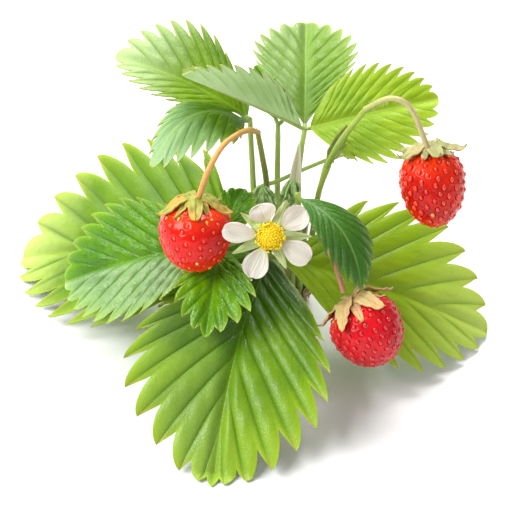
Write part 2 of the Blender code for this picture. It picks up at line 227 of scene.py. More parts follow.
def ball(move: Callable[[Vector], Vector], segments: int = 0, rings: int = 0) -> bpy.types.Object:
    """A unit ball pressed into shape by a function of each of its points.

    Args:
        move: gives a point's place in plan millimetres from its place on the unit ball.
        segments: faces round the ball, or 0 for a plain one of twenty triangles.
        rings: faces from pole to pole.

    Returns:
        The ball.
    """
    bpy.ops.object.select_all(action="DESELECT")
    if segments:
        bpy.ops.mesh.primitive_uv_sphere_add(segments=segments, ring_count=rings, radius=1.0)
    else:
        bpy.ops.mesh.primitive_ico_sphere_add(subdivisions=1, radius=1.0)
    piece = bpy.context.object
    for vertex in piece.data.vertices:
        vertex.co = ORIGIN + move(vertex.co.copy()) * MM
    return piece


def thicken(piece: bpy.types.Object, thickness: float, offset: float = 1.0,
            under_slot: int = 0) -> None:
    """Give a sheet its thickness and fold the modifier into the mesh.

    Args:
        piece: the sheet.
        thickness: in millimetres.
        offset: 1 keeps the sheet as the side its faces turn away from.
        under_slot: how many material slots further the sheet's own side is.
    """
    select_only(piece)
    modifier = piece.modifiers.new("thickness", "SOLIDIFY")
    modifier.thickness = thickness * MM
    modifier.offset = offset
    modifier.use_even_offset = False
    modifier.material_offset = under_slot
    bpy.ops.object.modifier_apply(modifier=modifier.name)


def shade(piece: bpy.types.Object, degrees: float = 60.0) -> None:
    """Shade a piece smooth, keeping edges sharper than the angle."""
    select_only(piece)
    bpy.ops.object.shade_smooth_by_angle(angle=math.radians(degrees))


def join(name: str, parts: Sequence[bpy.types.Object]) -> bpy.types.Object:
    """Join pieces of one finish into a single named piece.

    Args:
        name: the joined piece's name.
        parts: the pieces, which become one.

    Returns:
        The joined piece.
    """
    bpy.ops.object.select_all(action="DESELECT")
    for part in parts:
        part.select_set(True)
    bpy.context.view_layer.objects.active = parts[0]
    bpy.ops.object.join()
    parts[0].name = name
    parts[0].data.name = name
    return parts[0]


def settle(piece: bpy.types.Object, slot: str, *nodes: str) -> bpy.types.Object:
    """Fix a finished piece to the frame and say which nodes it stands for.

    Args:
        piece: the finished piece.
        slot: the record's material slot its finish comes from.
        nodes: the CAD nodes it replaces.

    Returns:
        The same piece.
    """
    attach(piece, BODY)
    if nodes:
        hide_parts(*nodes)
    LOG.info("%s: %d faces, for %s", piece.name, len(piece.data.polygons), ", ".join(nodes) or slot)
    return piece


def tube(name: str, route: Sequence[Vector], radii: Sequence[float],
         sides: int = 12) -> bpy.types.Object:
    """A closed tube along a route, its ends drawn in to a point.

    Args:
        name: the piece's name.
        route: the centre line, in plan millimetres.
        radii: the radius at each point of the route.
        sides: faces round the tube.

    Returns:
        The tube, with its distance along the route from 0 to 1 as a mark.
    """
    frames = []
    tangent = (route[1] - route[0]).normalized()
    _, side, _ = axes_for(tangent)
    for index, _ in enumerate(route):
        ahead = (route[min(index + 1, len(route) - 1)] - route[max(index - 1, 0)]).normalized()
        side = (side - ahead * side.dot(ahead)).normalized()
        frames.append((side.copy(), ahead.cross(side)))
    last = len(route) - 1
    rings = [(0, 0.0), *((i, 1.0) for i in range(last + 1)), (last, 0.0)]

    def place(column: int, row: int) -> Spot:
        """The point of one ring of the tube.

        Args:
            column: the ring, the first and last being drawn in to points.
            row: the step round it.

        Returns:
            The point with its marks.
        """
        index, share = rings[column]
        angle = math.tau * (row % sides) / sides
        spread = around(*frames[index], angle) * radii[index] * share
        return Spot(route[index] + spread, along=index / last, edge=0.5 + 0.5 * math.sin(angle))

    piece = shaped_grid(name, len(rings) - 1, sides, place, closed=True)
    shade(piece, 70)
    return piece


# Finishes.

Colour = tuple[float, float, float]


class Board:
    """A material's node tree, with short ways to add and join its nodes."""

    def __init__(self, name: str) -> None:
        """Start a material with only its Principled shader.

        Args:
            name: the material's name.
        """
        self.material = bpy.data.materials.new(name)
        self.material.use_nodes = True
        self.nodes = self.material.node_tree.nodes
        self.links = self.material.node_tree.links
        self.shader = self.nodes["Principled BSDF"]
        self.place = self.nodes.new("ShaderNodeTexCoord").outputs["Object"]

    def set(self, **values: float) -> None:
        """Set the shader's own sockets, named with underscores for spaces."""
        for key, value in values.items():
            self.shader.inputs[key.replace("_", " ")].default_value = value

    def mark(self, name: str) -> bpy.types.NodeSocket:
        """One of the mesh's point marks, as a factor.

        Args:
            name: the mark, one of MARKS.

        Returns:
            The factor socket.
        """
        node = self.nodes.new("ShaderNodeAttribute")
        node.attribute_name = name
        return node.outputs["Fac"]

    def noise(self, scale: float, detail: float = 3.0, stretch: Colour = (1.0, 1.0, 1.0),
              rough: float = 0.55) -> bpy.types.NodeSocket:
        """Noise over the piece's own coordinates.

        Args:
            scale: how many waves a metre holds.
            detail: octaves.
            stretch: how much finer the noise runs along each axis.
            rough: how strong the finer octaves are.

        Returns:
            The factor socket.
        """
        mapping = self.nodes.new("ShaderNodeMapping")
        mapping.inputs["Scale"].default_value = stretch
        self.links.new(self.place, mapping.inputs["Vector"])
        node = self.nodes.new("ShaderNodeTexNoise")
        node.inputs["Scale"].default_value = scale
        node.inputs["Detail"].default_value = detail
        node.inputs["Roughness"].default_value = rough
        self.links.new(mapping.outputs["Vector"], node.inputs["Vector"])
        return node.outputs["Fac"]

    def cells(self, scale: float, to_edge: bool = True) -> bpy.types.NodeSocket:
        """Voronoi cells over the piece's own coordinates.

        Args:
            scale: how many cells a metre holds.
            to_edge: whether to measure from the cells' edges, or else from their middles.

        Returns:
            The distance socket.
        """
        node = self.nodes.new("ShaderNodeTexVoronoi")
        node.feature = "DISTANCE_TO_EDGE" if to_edge else "F1"
        node.inputs["Scale"].default_value = scale
        self.links.new(self.place, node.inputs["Vector"])
        return node.outputs["Distance"]

    def remap(self, source: bpy.types.NodeSocket, low: float, high: float, to_low: float = 0.0,
              to_high: float = 1.0) -> bpy.types.NodeSocket:
        """A value's range moved to another range, and held there.

        Args:
            source: the value's socket.
            low: the value that becomes to_low.
            high: the value that becomes to_high.
            to_low: one end of the new range.
            to_high: its other end.

        Returns:
            The new value's socket.
        """
        node = self.nodes.new("ShaderNodeMapRange")
        for key, value in (("From Min", low), ("From Max", high), ("To Min", to_low),
                           ("To Max", to_high)):
            node.inputs[key].default_value = value
        self.links.new(source, node.inputs["Value"])
        return node.outputs["Result"]

    def math(self, operation: str, a: bpy.types.NodeSocket,
             b: bpy.types.NodeSocket | float) -> bpy.types.NodeSocket:
        """One sum of two values.

        Args:
            operation: the Math node's operation.
            a: the first value's socket.
            b: the second value, a socket or a number.

        Returns:
            The result's socket.
        """
        node = self.nodes.new("ShaderNodeMath")
        node.operation = operation
        self.links.new(a, node.inputs[0])
        if isinstance(b, (int, float)):
            node.inputs[1].default_value = b
        else:
            self.links.new(b, node.inputs[1])
        return node.outputs["Value"]

    def fade(self, fac: bpy.types.NodeSocket, most: bpy.types.NodeSocket | float,
             a: bpy.types.NodeSocket, b: Colour) -> bpy.types.NodeSocket:
        """A colour laid over another by a factor, up to a limit.

        Args:
            fac: where the second colour lies.
            most: the share of it where the factor is 1, a socket or a number.
            a: the colour underneath.
            b: the colour laid over it.

        Returns:
            The mixed colour's socket.
        """
        return self.mix(self.math("MULTIPLY", fac, most), a, b)

    def mix(self, fac: bpy.types.NodeSocket, a: "Colour | bpy.types.NodeSocket",
            b: "Colour | bpy.types.NodeSocket") -> bpy.types.NodeSocket:
        """Two colours mixed by a factor.

        Args:
            fac: 0 gives the first colour and 1 the second.
            a: a colour or a colour socket.
            b: a colour or a colour socket.

        Returns:
            The mixed colour's socket.
        """
        node = self.nodes.new("ShaderNodeMix")
        node.data_type = "RGBA"
        self.links.new(fac, node.inputs["Factor"])
        for value, socket in ((a, node.inputs[6]), (b, node.inputs[7])):
            if isinstance(value, tuple):
                socket.default_value = (*value, 1.0)
            else:
                self.links.new(value, socket)
        return node.outputs[2]

    def bump(self, height: bpy.types.NodeSocket, distance: float, strength: float = 1.0) -> None:
        """Raise the surface by a height.

        Args:
            height: the height's socket, mostly from 0 to 1.
            distance: what a height of 1 stands for, in metres.
            strength: how much of it shows.
        """
        node = self.nodes.new("ShaderNodeBump")
        node.inputs["Distance"].default_value = distance
        node.inputs["Strength"].default_value = strength
        self.links.new(height, node.inputs["Height"])
        self.links.new(node.outputs["Normal"], self.shader.inputs["Normal"])

    def colour(self, socket: bpy.types.NodeSocket) -> None:
        """Join a colour to the shader."""
        self.links.new(socket, self.shader.inputs["Base Color"])

    def rough(self, socket: bpy.types.NodeSocket) -> None:
        """Join a roughness to the shader."""
        self.links.new(socket, self.shader.inputs["Roughness"])


class Finish:
    """A look that can be painted into a material. Each kind below says how."""

    def make(self, name: str) -> bpy.types.Material:
        """A new material with this finish.

        Args:
            name: the material's name.

        Returns:
            The material.
        """
        board = Board(name)
        self.paint(board)
        return board.material

    def paint(self, board: Board) -> None:
        """Lay the finish's colours, roughness and relief on a material's nodes."""
        raise NotImplementedError


@dataclass(frozen=True)
class LeafFinish(Finish):
    """A leaf's skin: mottled green between pale veins, with a fine net and a paler margin, painted
    shade in the creases over the side veins, and, where set, painted sheen towards the tip and on
    chosen halves and painted shadow at the base.
    """

    light: Colour
    deep: Colour
    vein: Colour
    margin: Colour
    tip: Colour = (0.36, 0.30, 0.05)
    # Painted sheen, paler from a share of the way out to the tip.
    far: Colour | None = None
    far_from: float = 0.55
    # Painted shadow towards the base, and the share of the length it reaches.
    painted_shade: Colour | None = None
    painted_shade_to: float = 0.34
    gloss: float = 0.42
    vein_show: float = 0.55
    # How strong the painted shade in the creases is.
    crease_shade: float = 0.75
    net: float = 0.35
    # The colour of the painted sheen.
    sheen_colour: Colour = (0.52, 0.62, 0.44)

    def paint(self, board: Board) -> None:
        """Lay the finish on a material's nodes.

        Args:
            board: the new material's nodes.
        """
        broad = board.remap(board.noise(70, 2.0), 0.32, 0.68)
        fine = board.noise(900, 3.0)
        skin = board.mix(broad, self.deep, self.light)
        # Painted sheen towards the tip.
        if self.far is not None:
            reach = board.math("ADD", board.mark("along"), board.remap(fine, 0, 1, -0.04, 0.04))
            skin = board.mix(board.remap(reach, self.far_from, 1.0), skin, self.far)
        # Painted shadow, darker towards the base.
        if self.painted_shade is not None:
            skin = board.mix(board.remap(board.mark("along"), self.painted_shade_to, 0.0), skin, self.painted_shade)
        net = board.remap(board.cells(1150), 0.0, 0.16, 1.0, 0.0)
        skin = board.fade(net, 0.26 * self.net, skin, self.deep)
        specks = board.remap(board.cells(1500, False), 0.12, 0.3, 1.0, 0.0)
        skin = board.fade(specks, 0.12, skin, self.margin)
        # Painted shade in the creases over the side veins.
        skin = board.fade(board.mark("crease_shade"), self.crease_shade, skin, self.deep)
        skin = board.fade(board.mark("vein"), self.vein_show, skin, self.vein)
        # Painted sheen, in patches, on the chosen halves.
        sheen_patches = board.remap(board.noise(260, 3.0), 0.3, 0.7, 0.55, 1.0)
        skin = board.fade(board.mark("painted_sheen"), sheen_patches, skin, self.sheen_colour)
        skin = board.fade(board.mark("edge"), 0.6, skin, self.margin)
        skin = board.fade(board.mark("tooth"), 0.7, skin, self.tip)
        board.colour(skin)
        board.rough(board.remap(fine, 0.3, 0.7, self.gloss - 0.07, self.gloss + 0.10))
        height = board.math("SUBTRACT", board.remap(fine, 0, 1, 0, 0.5), net)
        board.bump(height, 0.00002 + 0.00003 * self.net, 0.7)
        board.set(Specular_IOR_Level=0.28)


@dataclass(frozen=True)
class UnderFinish(Finish):
    """A leaf's underside: pale and matt, with a raised net and downy speckle."""

    body: Colour
    vein: Colour = (0.50, 0.58, 0.28)

    def paint(self, board: Board) -> None:
        """Lay the finish on a material's nodes.

        Args:
            board: the new material's nodes.
        """
        net = board.remap(board.cells(820), 0.0, 0.14, 1.0, 0.0)
        darker: Colour = tuple(value * 0.78 for value in self.body)
        skin = board.mix(board.noise(160, 3.0), darker, self.body)
        skin = board.fade(net, 0.35, skin, self.vein)
        skin = board.fade(board.mark("vein"), 0.8, skin, self.vein)
        board.colour(skin)
        board.rough(board.remap(board.noise(1200), 0.3, 0.7, 0.62, 0.78))
        board.bump(net, 0.00012)


@dataclass(frozen=True)
class FleshFinish(Finish):
    """A berry's skin: translucent wet red, paler by the calyx, with painted shade in the pits under
    the achenes.
    """

    ripe: Colour
    deep: Colour
    pale: Colour
    gloss: float = 0.2

    def paint(self, board: Board) -> None:
        """Lay the finish on a material's nodes.

        Args:
            board: the new material's nodes.
        """
        skin = board.mix(board.remap(board.noise(120, 3.0), 0.35, 0.7), self.deep, self.ripe)
        skin = board.mix(board.remap(board.mark("along"), 0.30, 0.02, 0.0, 0.75), skin, self.pale)
        # Painted shade: the flesh darkens in the pit under each achene.
        skin = board.mix(board.remap(board.mark("vein"), 0.0, 1.0, 0.0, 0.6), skin, self.deep)
        board.colour(skin)
        board.rough(board.remap(board.noise(700), 0.3, 0.7, self.gloss - 0.05, self.gloss + 0.08))
        board.bump(board.noise(1500, 2.0), 0.00003)
        board.set(Subsurface_Weight=0.10, Subsurface_Scale=0.0010, Coat_Weight=0.12,
                  Coat_Roughness=0.04, Specular_IOR_Level=0.22)
        board.shader.inputs["Subsurface Radius"].default_value = (1.0, 0.22, 0.12)


@dataclass(frozen=True)
class SeedFinish(Finish):
    """An achene's skin: glossy, from red to straw by its own tone mark."""

    red: Colour
    straw: Colour

    def paint(self, board: Board) -> None:
        """Lay the finish on a material's nodes.

        Args:
            board: the new material's nodes.
        """
        skin = board.mix(board.mark("tooth"), self.red, self.straw)
        ridge = board.noise(2500, 2.0)
        board.colour(board.mix(board.remap(ridge, 0.45, 0.7, 0.0, 0.3), skin, (0.25, 0.03, 0.01)))
        board.rough(board.remap(ridge, 0.3, 0.7, 0.14, 0.3))
        board.bump(ridge, 0.00002)
        board.set(Coat_Weight=0.5, Coat_Roughness=0.04, Subsurface_Weight=0.10,
                  Subsurface_Scale=0.0006, Specular_IOR_Level=0.4)


@dataclass(frozen=True)
class StalkFinish(Finish):
    """A stalk's skin: two greens or tans that change along it, with fine lengthwise streaks."""

    foot: Colour
    head: Colour
    flush: Colour
    turn: float = 0.5

    def paint(self, board: Board) -> None:
        """Lay the finish on a material's nodes.

        Args:
            board: the new material's nodes.
        """
        share = board.math("ADD", board.mark("along"),
                           board.remap(board.noise(300, 3.0), 0, 1, -0.12, 0.12))
        skin = board.mix(board.remap(share, self.turn - 0.3, self.turn + 0.3), self.foot, self.head)
        flecks = board.remap(board.noise(1100, 4.0, (1.0, 1.0, 0.15)), 0.52, 0.72)
        skin = board.fade(flecks, 0.5, skin, self.flush)
        skin = board.mix(board.remap(board.mark("edge"), 0.0, 1.0, 0.22, 0.0), skin, self.flush)
        board.colour(skin)
        board.rough(board.remap(flecks, 0, 1, 0.42, 0.6))
        board.bump(board.noise(1600, 3.0, (1.0, 1.0, 0.12)), 0.00008)
        board.set(Subsurface_Weight=0.12, Subsurface_Scale=0.0008)


@dataclass(frozen=True)
class BractFinish(Finish):
    """A sepal, bract or papery stipule: streaked along its length, dry at the edge and tip."""

    body: Colour
    streak: Colour
    dry: Colour
    tip: Colour
    rough: float = 0.6
    glow: float = 0.15

    def paint(self, board: Board) -> None:
        """Lay the finish on a material's nodes.

        Args:
            board: the new material's nodes.
        """
        patch = board.remap(board.noise(260, 4.0), 0.42, 0.62)
        skin = board.mix(patch, self.body, self.dry)
        skin = board.fade(board.mark("vein"), 0.7, skin, self.streak)
        skin = board.fade(board.mark("edge"), 0.55, skin, self.dry)
        skin = board.mix(board.remap(board.mark("along"), 0.72, 1.0, 0.0, 0.8), skin, self.tip)
        board.colour(skin)
        board.rough(board.remap(patch, 0, 1, self.rough - 0.08, self.rough + 0.1))
        board.bump(board.math("ADD", board.mark("vein"), board.noise(1300, 3.0)), 0.00010)
        board.set(Subsurface_Weight=self.glow, Subsurface_Scale=0.0008)


@dataclass(frozen=True)
class PetalFinish(Finish):
    """A petal: cool white with fine clear veins and a warm green claw."""

    body: Colour = (0.61, 0.58, 0.49)
    vein: Colour = (0.52, 0.52, 0.46)
    claw: Colour = (0.60, 0.64, 0.34)

    def paint(self, board: Board) -> None:
        """Lay the finish on a material's nodes.

        Args:
            board: the new material's nodes.
        """
        cloud = board.remap(board.noise(240, 3.0), 0.35, 0.65, 0.0, 0.4)
        skin = board.mix(cloud, self.body, (0.53, 0.51, 0.43))
        skin = board.fade(board.mark("vein"), 0.25, skin, self.vein)
        skin = board.mix(board.remap(board.mark("along"), 0.22, 0.0, 0.0, 0.85), skin, self.claw)
        board.colour(skin)
        board.rough(board.remap(board.noise(900), 0.3, 0.7, 0.48, 0.62))
        board.bump(board.math("SUBTRACT", board.noise(700, 3.0), board.mark("vein")), 0.00007)
        board.set(Subsurface_Weight=0.25, Subsurface_Scale=0.001)


@dataclass(frozen=True)
class PollenFinish(Finish):
    """A pollen-bearing part: saturated yellow with a dusty grain."""

    body: Colour
    deep: Colour
    rough: float = 0.65

    def paint(self, board: Board) -> None:
        """Lay the finish on a material's nodes.

        Args:
            board: the new material's nodes.
        """
        grain = board.noise(1800, 4.0)
        board.colour(board.mix(board.remap(grain, 0.35, 0.65), self.deep, self.body))
        board.rough(board.remap(grain, 0.3, 0.7, self.rough - 0.1, self.rough + 0.1))
        board.bump(grain, 0.00006)
        board.set(Subsurface_Weight=0.2, Subsurface_Scale=0.0006)


@dataclass(frozen=True)
class BarkFinish(Finish):
    """The crown's scaly rind: browns broken by ridges and dry fibres."""

    body: Colour = (0.16, 0.085, 0.035)
    ridge: Colour = (0.36, 0.24, 0.11)

    def paint(self, board: Board) -> None:
        """Lay the finish on a material's nodes.

        Args:
            board: the new material's nodes.
        """
        fibre = board.noise(500, 5.0, (1.0, 1.0, 0.35), 0.65)
        board.colour(board.mix(board.remap(fibre, 0.4, 0.66), self.body, self.ridge))
        board.rough(board.remap(fibre, 0.3, 0.7, 0.7, 0.92))
        board.bump(fibre, 0.0004)


class Plant(Enum):
    """The finishes of the sprig's parts, by name."""

    # Leaf A's front leaflet has painted shadow at its base, under the flower.
    # The far colours paint sheen towards the leaflets' tips.
    LEAF_A = LeafFinish((0.180, 0.340, 0.001), (0.055, 0.165, 0.001), (0.28, 0.42, 0.01),
                        (0.34, 0.50, 0.01), gloss=0.32, vein_show=0.4, far=(0.28, 0.44, 0.03),
                        far_from=0.45, painted_shade=(0.015, 0.055, 0.001), painted_shade_to=0.5, net=0.3)
    LEAF_A_LEFT = LeafFinish((0.135, 0.260, 0.001), (0.060, 0.150, 0.001), (0.24, 0.38, 0.01),
                             (0.38, 0.52, 0.03), far=(0.52, 0.64, 0.16), far_from=0.72)
    LEAF_A_RIGHT = LeafFinish((0.300, 0.460, 0.003), (0.185, 0.335, 0.002), (0.32, 0.48, 0.02),
                              (0.44, 0.58, 0.04), far=(0.50, 0.64, 0.12), far_from=0.55,
                              vein_show=0.25)
    LEAF_B = LeafFinish((0.125, 0.310, 0.001), (0.045, 0.160, 0.001), (0.24, 0.42, 0.02),
                        (0.32, 0.50, 0.04), gloss=0.25, vein_show=0.25, crease_shade=0.9, net=0.8)
    LEAF_C = LeafFinish((0.175, 0.310, 0.006), (0.085, 0.185, 0.003), (0.30, 0.42, 0.06),
                        (0.34, 0.46, 0.08), far=(0.44, 0.58, 0.26), far_from=0.5, gloss=0.38)
    LEAF_C_FRONT = LeafFinish((0.120, 0.260, 0.008), (0.060, 0.160, 0.004), (0.30, 0.44, 0.10),
                              (0.36, 0.50, 0.14), far=(0.27, 0.44, 0.20), far_from=0.45,
                              gloss=0.36)
    LEAF_D = LeafFinish((0.185, 0.320, 0.028), (0.095, 0.200, 0.012), (0.32, 0.44, 0.12),
                        (0.36, 0.48, 0.10), gloss=0.34, crease_shade=0.9)
    LEAF_D_RIGHT = LeafFinish((0.310, 0.460, 0.010), (0.180, 0.320, 0.004), (0.42, 0.54, 0.08),
                              (0.44, 0.56, 0.08), gloss=0.40)
    # A brightened green for the downward side of leaf D's left leaflet: painted light and sheen on a
    # face the lamps leave in shade.
    LEAF_D_PAINTED_SHEEN = LeafFinish((0.580, 0.790, 0.400), (0.330, 0.560, 0.170), (0.68, 0.82, 0.50),
                             (0.62, 0.76, 0.42), gloss=0.40)
    LEAF_E = LeafFinish((0.055, 0.180, 0.010), (0.020, 0.085, 0.006), (0.18, 0.34, 0.08),
                        (0.20, 0.36, 0.08), gloss=0.32, net=0.8)
    LEAF_F = LeafFinish((0.200, 0.380, 0.010), (0.110, 0.260, 0.006), (0.34, 0.50, 0.10),
                        (0.38, 0.54, 0.10))
    UNDER = UnderFinish((0.28, 0.42, 0.12), (0.40, 0.52, 0.20))
    UNDER_PALE = UnderFinish((0.34, 0.48, 0.18), (0.44, 0.56, 0.26))
    FLESH_1 = FleshFinish((0.82, 0.008, 0.001), (0.52, 0.002, 0.001), (0.90, 0.07, 0.006))
    FLESH_2 = FleshFinish((0.88, 0.020, 0.002), (0.42, 0.002, 0.001), (0.90, 0.06, 0.006),
                          gloss=0.15)
    FLESH_3 = FleshFinish((0.76, 0.004, 0.014), (0.34, 0.001, 0.004), (0.80, 0.02, 0.012),
                          gloss=0.15)
    SEED_1 = SeedFinish((0.84, 0.028, 0.004), (0.80, 0.48, 0.05))
    SEED_2 = SeedFinish((0.80, 0.020, 0.003), (0.76, 0.38, 0.05))
    SEED_3 = SeedFinish((0.68, 0.005, 0.016), (0.66, 0.24, 0.04))
    CALYX_1 = BractFinish((0.27, 0.34, 0.04), (0.24, 0.13, 0.02), (0.50, 0.31, 0.05),
                          (0.42, 0.26, 0.05))
    CALYX_2 = BractFinish((0.27, 0.33, 0.10), (0.36, 0.24, 0.09), (0.42, 0.36, 0.16),
                          (0.28, 0.29, 0.09))
    CALYX_3 = BractFinish((0.46, 0.40, 0.13), (0.58, 0.23, 0.10), (0.60, 0.36, 0.17),
                          (0.38, 0.36, 0.10))
    SEPALS = BractFinish((0.38, 0.48, 0.14), (0.46, 0.54, 0.22), (0.50, 0.58, 0.26),
                         (0.44, 0.52, 0.20))
    PETAL = PetalFinish()
    DOME = PollenFinish((0.88, 0.72, 0.002), (0.80, 0.50, 0.001))
    STAMENS = PollenFinish((0.90, 0.72, 0.01), (0.80, 0.52, 0.004))
    STALK_GREEN = StalkFinish((0.20, 0.32, 0.03), (0.31, 0.44, 0.06), (0.42, 0.46, 0.12))
    STALK_PALE = StalkFinish((0.28, 0.41, 0.07), (0.40, 0.53, 0.13), (0.48, 0.54, 0.20))
    STALK_TAN = StalkFinish((0.14, 0.19, 0.02), (0.24, 0.27, 0.04), (0.34, 0.22, 0.05), 0.6)
    STALK_ARCH = StalkFinish((0.32, 0.28, 0.05), (0.62, 0.33, 0.08), (0.66, 0.32, 0.10), 0.25)
    STALK_WHITE = StalkFinish((0.36, 0.44, 0.12), (0.55, 0.48, 0.24), (0.60, 0.38, 0.20), 0.45)
    STALK_PINK = StalkFinish((0.28, 0.32, 0.08), (0.64, 0.31, 0.18), (0.66, 0.26, 0.15), 0.5)
    BUD = BractFinish((0.22, 0.38, 0.10), (0.36, 0.50, 0.20), (0.32, 0.46, 0.18), (0.24, 0.40, 0.12))
    STIPULE = BractFinish((0.72, 0.78, 0.58), (0.52, 0.60, 0.36), (0.80, 0.84, 0.68),
                          (0.76, 0.80, 0.62), glow=0.3)
    BRACT = BractFinish((0.20, 0.31, 0.05), (0.28, 0.36, 0.10), (0.30, 0.35, 0.10),
                        (0.32, 0.28, 0.08))
    SCALE = BractFinish((0.30, 0.20, 0.09), (0.20, 0.11, 0.05), (0.42, 0.30, 0.16),
                        (0.46, 0.34, 0.20), rough=0.75)
    CROWN = BarkFinish()

    def material(self) -> bpy.types.Material:
        """This finish's material, made on first use."""
        name = f"wild_{self.name.lower()}"
        return bpy.data.materials.get(name) or self.value.make(name)


def dress(piece: bpy.types.Object, *finishes: Plant) -> None:
    """Put one or more finishes in the piece's slots.

    Args:
        piece: the piece.
        finishes: its finishes, in the order of its slots.
    """
    piece.data.materials.clear()
    for finish in finishes:
        piece.data.materials.append(finish.material())


# Leaves.

TOOTH_START = 0.15  # where along the margin the teeth begin
TOOTH_PEAK = 0.74  # how far through a tooth its tip lies, so that teeth point forward
RIB_HALF = 0.34  # the midrib's half width
RIB_RISE = 0.30  # how far the blade swells up beside the midrib
RIB_SIDE = 1.6  # how far from the midrib that swelling is complete
VEIN_HALF = 0.035  # a side vein's half width, as a share of a tooth
CREASE_SHADE_HALF = 0.12  # how wide the painted shade in the crease over a side vein is, as a share of a tooth
QUILT_STEP = 2.3  # from one small quilted swelling to the next
HOOK_PEAK = 6.75  # brings t * t * (1 - t) to a peak of 1
TOOTH_STEPS = (0.001, 0.12, 0.24, 0.36, 0.48, 0.59, 0.67, 0.715, 0.74, 0.765, 0.81, 0.87, 0.935)


